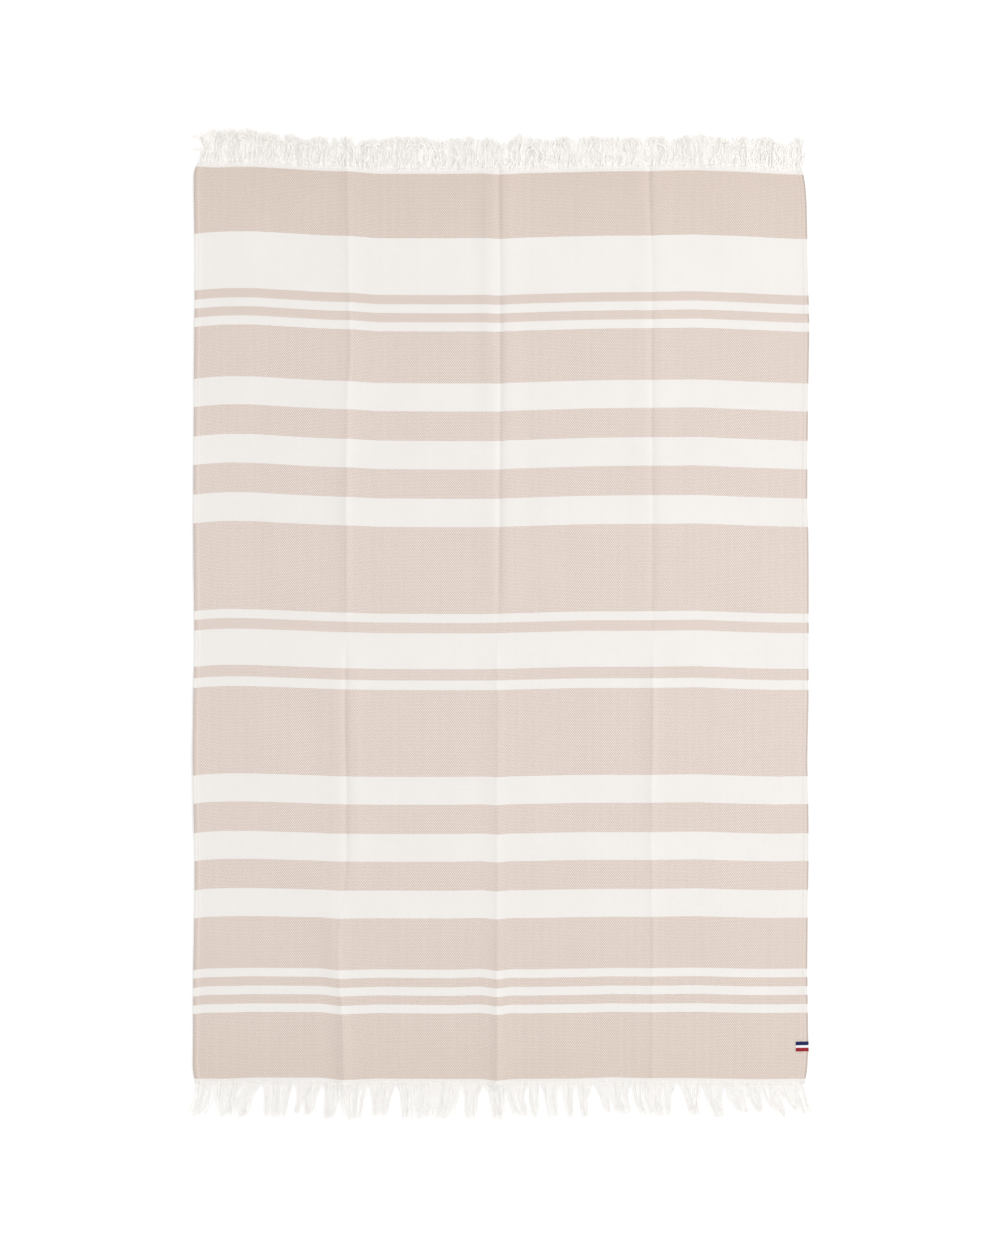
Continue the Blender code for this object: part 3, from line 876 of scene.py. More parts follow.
@dataclass(frozen=True)
class PlainThread:
    """Sewing thread in one colour, with its twist."""

    name: str
    colour: Colour
    twist_pitch: float = 0.0005
    twist: float = 0.14
    relief: float = 0.00005
    rough: float = 0.7

    def make(self) -> bpy.types.Material:
        """Builds the material.

        Returns:
            The finished material.
        """
        graph = Graph(self.name)
        across, along = graph.map_place()
        twist = (along / self.twist_pitch + across / self.twist_pitch).hump()
        # Painted shade: darker in the grooves of the twist.
        tone = (1.0 - self.twist) + self.twist * twist
        graph.surface(graph.shade(self.colour, tone), self.rough)
        graph.bump(twist, self.relief)
        return graph.material


# ---------------------------------------------------------------- the cloth's lie


@dataclass
class Lie:
    """How the cloth lies on the floor: its edges, pulled weft, creases and ripples."""

    edge_soften: float = 0.010
    bow_soften: float = 0.005
    crease_soften: float = 0.030
    crease_share: float = 0.76
    crease_round: float = 0.0012
    crease_reach: float = 0.0110
    crease_fade: Span = (0.0240, 0.0440)
    wrinkle_ends: float = 0.3
    ripple_high: float = 0.00045
    ripple_most: float = 2.0
    ripple_waves: int = 14
    ripple_long: Span = (0.060, 0.220)
    tag_y: float = -0.6850
    tag_lift: float = 0.00060
    tag_across: Span = (0.026, 0.050)
    tag_along: Span = (0.012, 0.034)
    corner_x: float = -0.4905
    corner_across: Span = (-0.020, 0.035)
    corner_along: Span = (0.640, 0.725)
    corner_lift: float = 0.0060
    clear: float = 0.0001
    seed: int = 5
    ripples: np.ndarray = field(init=False)

    def __post_init__(self) -> None:
        """Draws the ripples' directions, lengths and phases."""
        rng = np.random.default_rng(self.seed)
        turns = rng.uniform(0.0, math.pi, self.ripple_waves)
        waves = TURN / rng.uniform(*self.ripple_long, self.ripple_waves)
        phases = rng.uniform(0.0, TURN, self.ripple_waves)
        self.ripples = np.stack([np.cos(turns) * waves, np.sin(turns) * waves, phases], axis=1)

    def edge(self, y: np.ndarray, side: Side) -> np.ndarray:
        """Where one side edge lies at each height."""
        return read(EDGES, "y", y, side.value, self.edge_soften)

    def path(self, y: np.ndarray, fold: Fold) -> np.ndarray:
        """Where one lengthwise crease lies at each height."""
        return read(CREASES, "y", y, fold.value + "_x", self.crease_soften)

    def bow(self, x: np.ndarray, y: np.ndarray) -> np.ndarray:
        """How far the weft is pulled along the towel.

        Args:
            x: Places across.
            y: Heights along, of the same shape.

        Returns:
            The pull at each place.
        """
        pulls = [read(BOWS, "x", x, name, self.bow_soften) for name in Bow._fields[1:]]
        total = pulls[0]
        for step, start in enumerate(BOW_HEIGHTS[:-1]):
            long = BOW_HEIGHTS[step + 1] - start
            share = np.clip((y / MM - start) / long, 0.0, 1.0)
            total = total + (pulls[step + 1] - pulls[step]) * share
        corner = fade(x - self.corner_x, *self.corner_across) * (
            1.0 - fade(y, *self.corner_along))
        return total + self.corner_lift * corner

    def crease(self, away: np.ndarray, high: np.ndarray) -> np.ndarray:
        """The cloth's rise beside one crease.

        Args:
            away: Distance from the crease.
            high: Its height, below 0 for a valley.

        Returns:
            The rise at each place.
        """
        share = (np.hypot(away, self.crease_round) - self.crease_round) / self.crease_reach
        ridge = high * np.exp(-share)
        valley = -high * share * np.exp(1.0 - share)
        return np.where(high >= 0.0, ridge, valley) * fade(np.abs(away), *self.crease_fade)

    def wrinkles(self, x: np.ndarray, y: np.ndarray) -> np.ndarray:
        """The slight ridges placed one by one.

        Args:
            x: Places across.
            y: Heights along, of the same shape.

        Returns:
            Their rise at each place.
        """
        total = np.zeros_like(x)
        for row in np.array(WRINKLES) * MM:
            fold = Wrinkle(*row)
            run_x, run_y = fold.end_x - fold.start_x, fold.end_y - fold.start_y
            long = math.hypot(run_x, run_y)
            along = ((x - fold.start_x) * run_x + (y - fold.start_y) * run_y) / long
            aside = ((x - fold.start_x) * run_y - (y - fold.start_y) * run_x) / long
            ends = np.minimum(along, long - along) / (self.wrinkle_ends * long)
            total += fold.high * np.exp(-(aside / fold.reach) ** 2) * np.clip(ends, 0.0, 1.0)
        return total

    def rise(self, x: np.ndarray, y: np.ndarray) -> np.ndarray:
        """The underside's height above the floor.

        Args:
            x: Places across.
            y: Heights along, of the same shape.

        Returns:
            The height at each place, never below clear.
        """
        total = self.clear + self.wrinkles(x, y)
        for fold in Fold:
            high = read(CREASES, "y", y, fold.value + "_high", self.crease_soften)
            total += self.crease(x - self.path(y, fold), self.crease_share * high)
        waves = sum(np.sin(x * across + y * along + phase)
                    for across, along, phase in self.ripples)
        waves = waves / math.sqrt(self.ripple_waves)
        total += self.ripple_high * np.clip(waves, 0.0, self.ripple_most)
        across = fade(self.edge(y, Side.RIGHT) - x, *self.tag_across)
        total += self.tag_lift * across * fade(np.abs(y - self.tag_y), *self.tag_along)
        return total


# ---------------------------------------------------------------- sub-assemblies


@dataclass
class Cloth:
    """The woven sheet, with its two turned side hems and woven ends."""

    lie: Lie
    high_y: float = 0.7412
    low_y: float = -0.7445
    thick: float = 0.0012
    row_pitch: float = 0.0080
    end_offsets: tuple[float, ...] = (0.0, 0.0005, 0.0012, 0.0024, 0.0048)
    end_reach: float = 0.0024
    end_thin: float = 0.35
    crease_offsets: tuple[float, ...] = (
        0.0006, 0.0017, 0.0029, 0.0044, 0.0063, 0.0088, 0.0120, 0.0160, 0.0210, 0.0270,
        0.0350, 0.0450)
    panel_steps: tuple[int, ...] = (24, 19, 19, 24)

    def columns(self, y: np.ndarray) -> tuple[np.ndarray, np.ndarray, np.ndarray]:
        """The sheet's points across at each height.

        Args:
            y: The rows' heights along the towel.

        Returns:
            Their places across, and the underside's and face's added heights.
        """
        inwards, under, over = (column(HEM, name) for name in HemStep._fields)
        blocks = [self.lie.edge(y, Side.LEFT)[:, None] + inwards]
        half = np.array(self.crease_offsets)
        offsets = np.concatenate([-half[::-1], half])
        stops = [self.lie.path(y, fold)[:, None] + offsets for fold in Fold]
        stops.append(self.lie.edge(y, Side.RIGHT)[:, None] - inwards[::-1])
        for steps, block in zip(self.panel_steps, stops):
            share = np.arange(1, steps) / steps
            start, end = blocks[-1][:, -1:], block[:, :1]
            blocks += [start + (end - start) * share, block]
        x = np.concatenate(blocks, axis=1)
        middle = x.shape[1] - 2 * len(HEM)
        low = np.concatenate([under, np.zeros(middle), under[::-1]])
        high = np.concatenate([over, np.full(middle, self.thick), over[::-1]])
        return x, low, high

    def build(self) -> bpy.types.Object:
        """Builds the sheet as one closed mesh.

        Returns:
            The cloth.
        """
        count = int(round((self.high_y - self.low_y) / self.row_pitch)) - 1
        offsets = np.array(self.end_offsets)
        y = np.concatenate([
            self.low_y + offsets,
            np.linspace(self.low_y + self.row_pitch, self.high_y - self.row_pitch, count),
            self.high_y - offsets[::-1]])
        x, low, high = self.columns(y)
        end = fade(np.minimum(y - self.low_y, self.high_y - y), 0.0, self.end_reach)
        high = low + (high - low) * (1.0 - self.end_thin * end[:, None])
        flat_y = np.repeat(y[:, None], x.shape[1], axis=1)
        laid_y = flat_y + self.lie.bow(x, flat_y)
        rise = self.lie.rise(x, flat_y)
        layers = [np.stack([x, laid_y, rise + extra], axis=2).reshape(-1, 3)
                  for extra in (low, high)]
        index = np.arange(x.size).reshape(x.shape)
        quads = np.stack([index[:-1, :-1], index[:-1, 1:], index[1:, 1:], index[1:, :-1]],
                         axis=2).reshape(-1, 4)
        faces = (quads + x.size).tolist() + quads[:, ::-1].tolist()
        rim = np.concatenate([index[0, :], index[1:, -1], index[-1, -2::-1],
                              index[-2:0:-1, 0]])
        after = np.roll(rim, -1)
        faces += np.stack([rim, after, after + x.size, rim + x.size], axis=1).tolist()
        uvs = np.stack([x, flat_y], axis=2).reshape(-1, 2)
        sheet = mesh_object("cloth_sheet", np.concatenate(layers), faces, np.tile(uvs, (2, 1)))
        inwards = np.stack([x - x[:, :1], x[:, -1:] - x], axis=2).reshape(-1, 2)
        add_map(sheet.data, EDGE_MAP, np.tile(inwards, (2, 1)))
        away = np.min([np.abs(x - self.lie.path(y, fold)[:, None]) for fold in Fold], axis=0)
        add_map(sheet.data, CREASE_MAP, np.tile(away.reshape(-1, 1), (2, 2)))
        return sheet


@dataclass
class HemStitches:
    """A row of lockstitches along each side hem, in the groove that they pull."""

    lie: Lie
    low_y: float = -0.7440
    high_y: float = 0.7400
    inwards: float = 0.0062
    pitch: float = 0.0034
    long: float = 0.0027
    thick: float = 0.00042
    end_share: float = 0.30
    face_high: float = 0.00206
    under_high: float = 0.00014
    under_flat: float = 0.4
    sides: int = 6
    # Each step's share of the length, its swelling and its climb in thicknesses.
    steps: tuple[tuple[float, float, float], ...] = (
        (0.16, 1.75, 0.35), (0.34, 1.0, 0.0), (0.34, 1.0, 0.0), (0.16, 0.57, -0.35))

    def pattern(self) -> tuple[np.ndarray, list[list[int]]]:
        """Models one stitch along +Y by extruding and pinching a short tube.

        Returns:
            Its points and faces.
        """
        deselect_all()
        bpy.ops.mesh.primitive_circle_add(vertices=self.sides,
                                          radius=self.thick * self.end_share,
                                          fill_type="NGON", location=(0.0, 0.0, 0.0),
                                          rotation=(math.pi / 2.0, 0.0, 0.0))
        obj = bpy.context.active_object
        bpy.ops.object.transform_apply(location=True, rotation=True, scale=True)
        bpy.ops.object.mode_set(mode="EDIT")
        bpy.ops.mesh.select_all(action="SELECT")
        for share, swell, climb in self.steps:
            bpy.ops.mesh.extrude_region_move(TRANSFORM_OT_translate={
                "value": (0.0, self.long * share, self.thick * climb)})
            bpy.ops.transform.resize(value=(swell, 1.0, swell))
        bpy.ops.mesh.select_all(action="SELECT")
        bpy.ops.mesh.normals_make_consistent(inside=False)
        bpy.ops.object.mode_set(mode="OBJECT")
        points = np.array([vert.co[:] for vert in obj.data.vertices])
        faces = [list(polygon.vertices) for polygon in obj.data.polygons]
        bpy.data.objects.remove(obj, do_unlink=True)
        points[:, 1] -= points[:, 1].mean()
        return points, faces

    def build(self, side: Side) -> bpy.types.Object:
        """Lays the stitches along one hem, on its face and on its underside.

        Args:
            side: The hem's side.

        Returns:
            The stitches as one mesh.
        """
        stitch, faces = self.pattern()
        inwards = self.inwards if side is Side.LEFT else -self.inwards
        y = np.arange(self.low_y, self.high_y, self.pitch) + self.pitch / 2.0
        x = self.lie.edge(y, side) + inwards
        laid_y, rise = y + self.lie.bow(x, y), self.lie.rise(x, y)
        rows = [(stitch * (1.0, 1.0, flat))[None] + np.stack([x, laid_y, rise + high], 1)[:, None]
                for high, flat in ((self.face_high, 1.0), (self.under_high, self.under_flat))]
        points = np.concatenate(rows).reshape(-1, 3)
        all_faces = [[start + corner for corner in face]
                     for start in range(0, len(points), len(stitch)) for face in faces]
        return mesh_object("hem_stitches_" + side.value, points, all_faces, points[:, :2])


@dataclass
class Fringe:
    """The loose warp yarns at one end of the cloth."""

    lie: Lie
    name: str
    end_y: float
    outwards: float
    yarns: int
    steps: int
    radius: float
    crimp: float
    crimp_long: float
    stack: float
    slack: float
    seed: int
    inset_left: float = 0.0008
    inset_right: float = 0.0008
    tucked: float = 0.0018
    tucked_spread: Span = (0.4, 2.6)
    freeing: float = 0.0040
    root_jitter: float = 0.4
    root_high: Span = (0.0008, 0.00115)
    landing: Span = (0.0005, 0.012)
    pace_spread: Span = (0.8, 1.25)
    hop_pace: float = 1.13
    hop_flat: float = 15.0
    taper: float = 0.35
    girth: Span = (0.8, 1.15)
    floor_clear: float = 0.00004
    taper_power: int = 3
    map_start: float = 0.05
    map_share: float = 0.99

    def lay(self, root: np.ndarray, share: np.ndarray,
            rng: np.random.Generator) -> tuple[np.ndarray, ...]:
        """How each yarn turns and rises on its way from root to tip.

        Args:
            root: The yarns' roots across, rising.
            share: How far along the yarns, from 0 to 1.
            rng: The fringe's own random numbers.

        Returns:
            Each yarn's turn to the right at each share, in radians, its height above the
            floor there, and its length.
        """
        raise NotImplementedError

    def build(self, part: int, parts: int) -> bpy.types.Object:
        """Builds one stretch of the fringe as a joined mesh of yarns.

        Args:
            part: Which stretch, counted from the left.
            parts: How many stretches the fringe has.

        Returns:
            The stretch.
        """
        rng = np.random.default_rng(self.seed)
        one = (self.yarns, 1)
        ends = np.array([self.end_y])
        left = self.lie.edge(ends, Side.LEFT)[0] + self.inset_left
        right = self.lie.edge(ends, Side.RIGHT)[0] - self.inset_right
        pitch = (right - left) / (self.yarns - 1)
        root = np.sort(np.linspace(left, right, self.yarns)
                       + rng.uniform(-self.root_jitter, self.root_jitter, self.yarns) * pitch)
        share = np.linspace(0.0, 1.0, self.steps + 1)
        turn, high, long = self.lay(root, share, rng)
        tucked = self.tucked * rng.uniform(*self.tucked_spread, one)
        run = share[None, :] * (long[:, None] * self.slack + tucked)
        phase = rng.uniform(0.0, TURN, (self.yarns, 2))
        pace = self.crimp_long * rng.uniform(*self.pace_spread, one)
        free = np.clip((run - tucked) / self.freeing, 0.0, 1.0)
        wave = TURN * run / pace
        turn = free * (turn + self.crimp * np.cos(wave + phase[:, :1]))
        middle = (turn[:, 1:] + turn[:, :-1]) / 2.0
        pace_out = np.diff(run, axis=1)
        zero = np.zeros(one)
        x = root[:, None] + np.cumsum(np.hstack([zero, np.sin(middle) * pace_out]), axis=1)
        out = np.cumsum(np.hstack([zero, np.cos(middle) * pace_out]), axis=1) - tucked
        flat_y = np.full_like(root, self.end_y)
        landing = fade(out, *self.landing)
        start = (self.lie.rise(root, flat_y) + rng.uniform(*self.root_high, self.yarns))[:, None]
        z = start * landing + (self.radius + high) * (1.0 - landing)
        hop = 1.0 + np.sin(wave * self.hop_pace + phase[:, 1:2])
        z += free * self.crimp * pace / self.hop_flat * hop
        y = (self.end_y + self.lie.bow(root, flat_y))[:, None] + self.outwards * out
        thin = self.radius * (1.0 - self.taper * share[None, :] ** self.taper_power)
        thin = thin * rng.uniform(*self.girth, one)
        chosen = np.arange(self.yarns) * parts // self.yarns == part
        line = np.stack([x, y, z], axis=2)[chosen]
        return self.tubes(line, thin[chosen], run[chosen], f"{self.name}_{part + 1}")

    def tubes(self, line: np.ndarray, thin: np.ndarray, run: np.ndarray,
              name: str) -> bpy.types.Object:
        """Turns the yarns' centre lines into closed three-sided tubes.

        Args:
            line: The centre lines, as yarn by step by x, y, z.
            thin: The radius at each step.
            run: The distance along at each step.
            name: The piece's name.

        Returns:
            All the tubes as one mesh.
        """
        yarns, steps = line.shape[:2]
        way = np.gradient(line, axis=1)
        way /= np.linalg.norm(way, axis=2, keepdims=True)
        side = np.cross(way, (0.0, 0.0, 1.0))
        side /= np.linalg.norm(side, axis=2, keepdims=True)
        up = np.cross(side, way)
        corners = np.arange(3) / 3.0
        turns = (corners + 1.0 / 12.0) * TURN
        ring = (side[:, :, None, :] * np.cos(turns)[None, None, :, None]
                + up[:, :, None, :] * np.sin(turns)[None, None, :, None])
        points = line[:, :, None, :] + ring * thin[:, :, None, None]
        points[..., 2] = np.maximum(points[..., 2], self.floor_clear)
        index = np.arange(yarns * steps * 3).reshape(yarns, steps, 3)
        after = np.roll(index, -1, axis=2)
        quads = np.stack([index[:, :-1], after[:, :-1], after[:, 1:], index[:, 1:]],
                         axis=3).reshape(-1, 4)
        caps = np.concatenate([index[:, 0, ::-1], index[:, -1, :]])
        number = np.broadcast_to(np.arange(yarns)[:, None, None], index.shape)
        around = number + (self.map_start + self.map_share * corners)[None, None, :]
        along = np.broadcast_to(run[:, :, None], index.shape)
        uvs = np.stack([around, along], axis=3).reshape(-1, 2)
        faces = quads.tolist() + caps.tolist()
        return mesh_object(name, points.reshape(-1, 3), faces, uvs, smooth=False)


@dataclass
class LowFringe(Fringe):
    """The fringe beside the ribbon: yarns gathered in clumps with gaps between them."""

    depths: tuple[float, ...] = (0.0, 0.00308, 0.0284, 0.0504, 0.0604)
    root_deep: float = 0.0044
    deepest: float = 0.058
    past_tip: float = 0.45
    root_stray: float = 0.0012
    lock_wide: float = 0.0048
    gather: Span = (0.35, 0.95)
    lock_shift: float = 0.09
    smoothings: int = 5
    lock_long: Span = (0.92, 1.0)
    longest: float = 1.02
    shorter: float = 0.26
    shorter_power: int = 4
    lock_layer: float = 0.8
    yarn_layer: float = 0.7
    stray_share: float = 0.07
    stray: float = 4.0
    sway: float = 0.040
    swing: float = 0.07
    swing_pace: float = 9.0
    swing_turn: float = 6.3
    settle: float = 0.4
    tip_high: float = 0.0014
    tip_steep: float = 6.0
    reach: Span = (0.020, 0.0570)

    def lay(self, root: np.ndarray, share: np.ndarray,
            rng: np.random.Generator) -> tuple[np.ndarray, ...]:
        """Leads each yarn from its root through its clump's middle to its tip.

        Args:
            root: The yarns' roots across, rising.
            share: How far along the yarns, from 0 to 1.
            rng: The fringe's own random numbers.

        Returns:
            The yarns' turns, heights and lengths, as in Fringe.lay.
        """
        count, one = len(root), (len(root), 1)
        depth = share * self.deepest
        places = np.repeat(root[:, None], len(share), axis=1)
        long, layer = np.zeros(count), np.zeros(count)
        rows = np.array(CLUMPS) * MM
        rows[0, 0], rows[-1, 1] = root[0], root[-1] + HAIR
        for clump in (Clump(*row) for row in rows):
            inside = (root >= clump.root_left) & (root < clump.root_right)
            own = int(inside.sum())
            wide = clump.root_right - clump.root_left
            at = np.clip((root[inside] - clump.root_left) / wide
                         + rng.normal(0.0, self.root_stray / wide, own), 0.0, 1.0)
            locks = max(1, round(wide / self.lock_wide))
            lock = np.minimum(np.floor(at * locks), locks - 1).astype(int)
            centre = (lock + 0.5) / locks
            gather = rng.uniform(*self.gather, locks)[lock]
            tip = (centre + (at - centre) * gather
                   + rng.normal(0.0, self.lock_shift / locks, locks)[lock])
            mid = centre + (at - centre) * (1.0 + gather) / 2.0
            mid_x = clump.mid_left + mid * (clump.mid_right - clump.mid_left)
            tip_x = clump.tip_left + tip * (clump.tip_right - clump.tip_left)
            beyond = tip_x + (tip_x - mid_x) * self.past_tip
            stops = np.column_stack([root[inside], root[inside], mid_x, tip_x, beyond])
            lines = np.stack([np.interp(depth, self.depths, row) for row in stops])
            for _ in range(self.smoothings):
                padded = np.pad(lines, ((0, 0), (1, 1)), mode="edge")
                lines = (padded[:, :-2] + 2.0 * padded[:, 1:-1] + padded[:, 2:]) / 4.0
            places[inside] = lines
            long[inside] = ((clump.long + self.root_deep)
                            * rng.uniform(*self.lock_long, locks)[lock]
                            * (self.longest
                               - self.shorter * rng.random(own) ** self.shorter_power))
            layer[inside] = (rng.uniform(0.0, self.lock_layer, locks)[lock]
                             + rng.uniform(0.0, self.yarn_layer, own))
        lean = np.arctan(np.gradient(places, depth, axis=1))
        stray = np.where(rng.random(one) < self.stray_share, self.stray, 1.0)
        sway = stray * rng.normal(0.0, self.sway, one) + self.swing * np.sin(
            share[None, :] * self.swing_pace + rng.uniform(0.0, self.swing_turn, one))
        high = layer[:, None] * self.stack * (1.0 - self.settle * share[None, :])
        near_tip = np.clip((share[None, :] - 1.0) * self.tip_steep + 1.0, 0.0, 1.0)
        high += rng.uniform(0.0, self.tip_high, one) * near_tip
        return lean + sway, high, np.clip(long, *self.reach)


@dataclass
class HighFringe(Fringe):
    """The fringe at the far end: dense, crinkled yarns with a ragged top."""

    lock_wide: float = 0.0031
    lock_uneven: Span = (0.5, 1.5)
    lock_long: Span = (0.95, 1.02)
    yarn_long: Span = (0.985, 0.025)
    long_limits: Span = (0.020, 0.064)
    under_share: float = 0.60
    under_layer: float = 0.25
    under_waving: float = 0.12
    tuft_pull: float = 0.75
    yarn_pull: float = 0.04
    under_pull: float = 0.05
    lock_pull: float = 0.19
    lean: Span = (0.3, 1.7)
    right_pull: float = 0.06
    right_reach: float = 0.008
    strays: int = 9
    stray_pull: float = 0.22
    gather: float = 0.6
    gather_long: float = 0.0120
    waving: Span = (0.18, 0.62)
    wave_long: Span = (0.016, 0.034)
    curly_left: float = -0.2600
    curly_reach: float = 0.12
    curly: Span = (0.60, 1.40)
    hooked_share: float = 0.10
    hooked: float = 2.4
    lock_curl: float = 0.9
    yarn_curl: float = 0.25
    bend_from: float = 0.62
    bend_power: float = 1.5
    curl_lift: float = 0.0014
    knot_wide: float = 0.012
    knot_curl: float = 2.2
    corner_run: Span = (0.020, 0.030)
    corner_wide: Span = (0.003, 0.016)
    corner_in: float = 0.12
    corner_out: float = 0.55
    lock_layer: Span = (0.35, 1.0)
    yarn_layer: float = 0.35
    layer_wave: float = 0.25
    layer_pace: float = 0.004
    wisp: int = 14
    wisp_turns: Span = (0.0290, 0.0340)
    wisp_out: float = 1.42
    wisp_wave: float = 0.10
    wisp_pace: float = 0.003
    wisp_spread: float = 0.05
    wisp_long: Span = (0.034, 0.0385)

    def groups(self, root: np.ndarray, rng: np.random.Generator) -> tuple[np.ndarray, int]:
        """Splits the yarns into neighbouring locks of uneven width.

        Args:
            root: The yarns' roots.
            rng: The fringe's own random numbers.

        Returns:
            Each yarn's lock, and how many locks there are.
        """
        count = int(round((root[-1] - root[0]) / self.lock_wide))
        cuts = np.cumsum(rng.uniform(*self.lock_uneven, count))
        cuts = root[0] + (root[-1] - root[0]) * cuts / cuts[-1]
        return np.minimum(np.searchsorted(cuts, root), count - 1), count

    def reach(self, root: np.ndarray) -> np.ndarray:
        """The yarns' length, which dips half way from each tuft to the next.

        Args:
            root: The yarns' roots across.

        Returns:
            Each yarn's length before its own small difference.
        """
        tips, long, dip = (column(TUFTS, name) for name in ("x", "long", "dip"))
        between = (tips[1:] + tips[:-1]) / 2.0
        dipped = (long[1:] + long[:-1]) / 2.0 - dip[:-1]
        places = np.concatenate([tips, between])
        order = np.argsort(places)
        return np.interp(root, places[order], np.concatenate([long, dipped])[order])

    def lay(self, root: np.ndarray, share: np.ndarray,
            rng: np.random.Generator) -> tuple[np.ndarray, ...]:
        """Draws locks towards the tufts' tips, waves them and curls them.

        Args:
            root: The yarns' roots across, rising.
            share: How far along the yarns, from 0 to 1.
            rng: The fringe's own random numbers.

        Returns:
            The yarns' turns, heights and lengths, as in Fringe.lay.
        """
        count = len(root)
        lock, locks = self.groups(root, rng)
        middle = np.array([root[lock == each].mean() if (lock == each).any() else 0.0
                           for each in range(locks)])
        tips, gather = column(TUFTS, "x"), column(TUFTS, "gather", unit=1.0)
        tuft = np.searchsorted((tips[1:] + tips[:-1]) / 2.0, root)
        long = self.reach(root) * rng.uniform(*self.lock_long, locks)[lock]
        long *= rng.normal(*self.yarn_long, count)
        under = rng.random(count) < self.under_share
        run = share[None, :] * long[:, None]
        pull = (tips[tuft] - root) / long * gather[tuft]
        pull = np.where(under, 0.0, self.tuft_pull) * pull + rng.normal(0.0, self.yarn_pull, count)
        pull += np.where(under, rng.normal(0.0, self.under_pull, count),
                         rng.normal(0.0, self.lock_pull, locks)[lock])
        pull += self.right_pull * fade(root[-1] - root, 0.0, self.right_reach)
        pull[-self.strays:] += self.stray_pull
        start_lean, end_lean = self.lean
        pull = pull[:, None] * (start_lean + (end_lean - start_lean) * share[None, :])
        closing = np.where(under, 0.0, self.gather) * (middle[lock] - root) / self.gather_long
        waving = rng.uniform(*self.waving, locks)[lock][:, None]
        waving *= np.where(under, self.under_waving, 1.0)[:, None]
        pace = rng.uniform(*self.wave_long, locks)[lock][:, None]
        start = rng.uniform(0.0, TURN, locks)[lock][:, None]
        straight, curliest = self.curly
        curly = straight + (curliest - straight) * fade(
            root - self.curly_left, 0.0, self.curly_reach)
        hooked = np.where(rng.random(locks) < self.hooked_share, self.hooked, 1.0)
        curl = (rng.normal(0.0, self.lock_curl, locks) * hooked)[lock] * curly
        curl += rng.normal(0.0, self.yarn_curl, count)
        curl = np.where(root - root[0] < self.knot_wide, self.knot_curl * np.sign(curl), curl)
        bend = np.clip((share[None, :] - self.bend_from) / (1.0 - self.bend_from), 0.0, 1.0)
        bend = bend ** self.bend_power
        inner = fade(run, *self.corner_run)
        corner = self.corner_in * inner - self.corner_out * (1.0 - inner)
        corner = corner * fade(root - root[0], *self.corner_wide)[:, None]
        turn = (pull + corner + closing[:, None] * np.exp(-run / self.gather_long)
                + waving * np.sin(TURN * run / pace + start) + curl[:, None] * bend)
        layer = (rng.uniform(*self.lock_layer, locks)[lock]
                 + rng.uniform(0.0, self.yarn_layer, count))
        layer = np.where(under, rng.uniform(0.0, self.under_layer, count), layer)
        swell = np.sin(run / self.layer_pace + start)
        high = layer[:, None] * self.stack * (1.0 + self.layer_wave * (swell - 1.0))
        high += np.abs(curl)[:, None] * bend * self.curl_lift
        wisp = np.arange(count) < self.wisp
        aside = (self.wisp_wave * np.sin(run / self.wisp_pace + start) + self.corner_in * inner
                 - self.wisp_out * (1.0 - fade(run, *self.wisp_turns)))
        aside += rng.normal(0.0, self.wisp_spread, (count, 1))
        turn = np.where(wisp[:, None], aside, turn)
        long = np.where(wisp, rng.uniform(*self.wisp_long, count), long)
        return turn, high, np.clip(long, *self.long_limits)


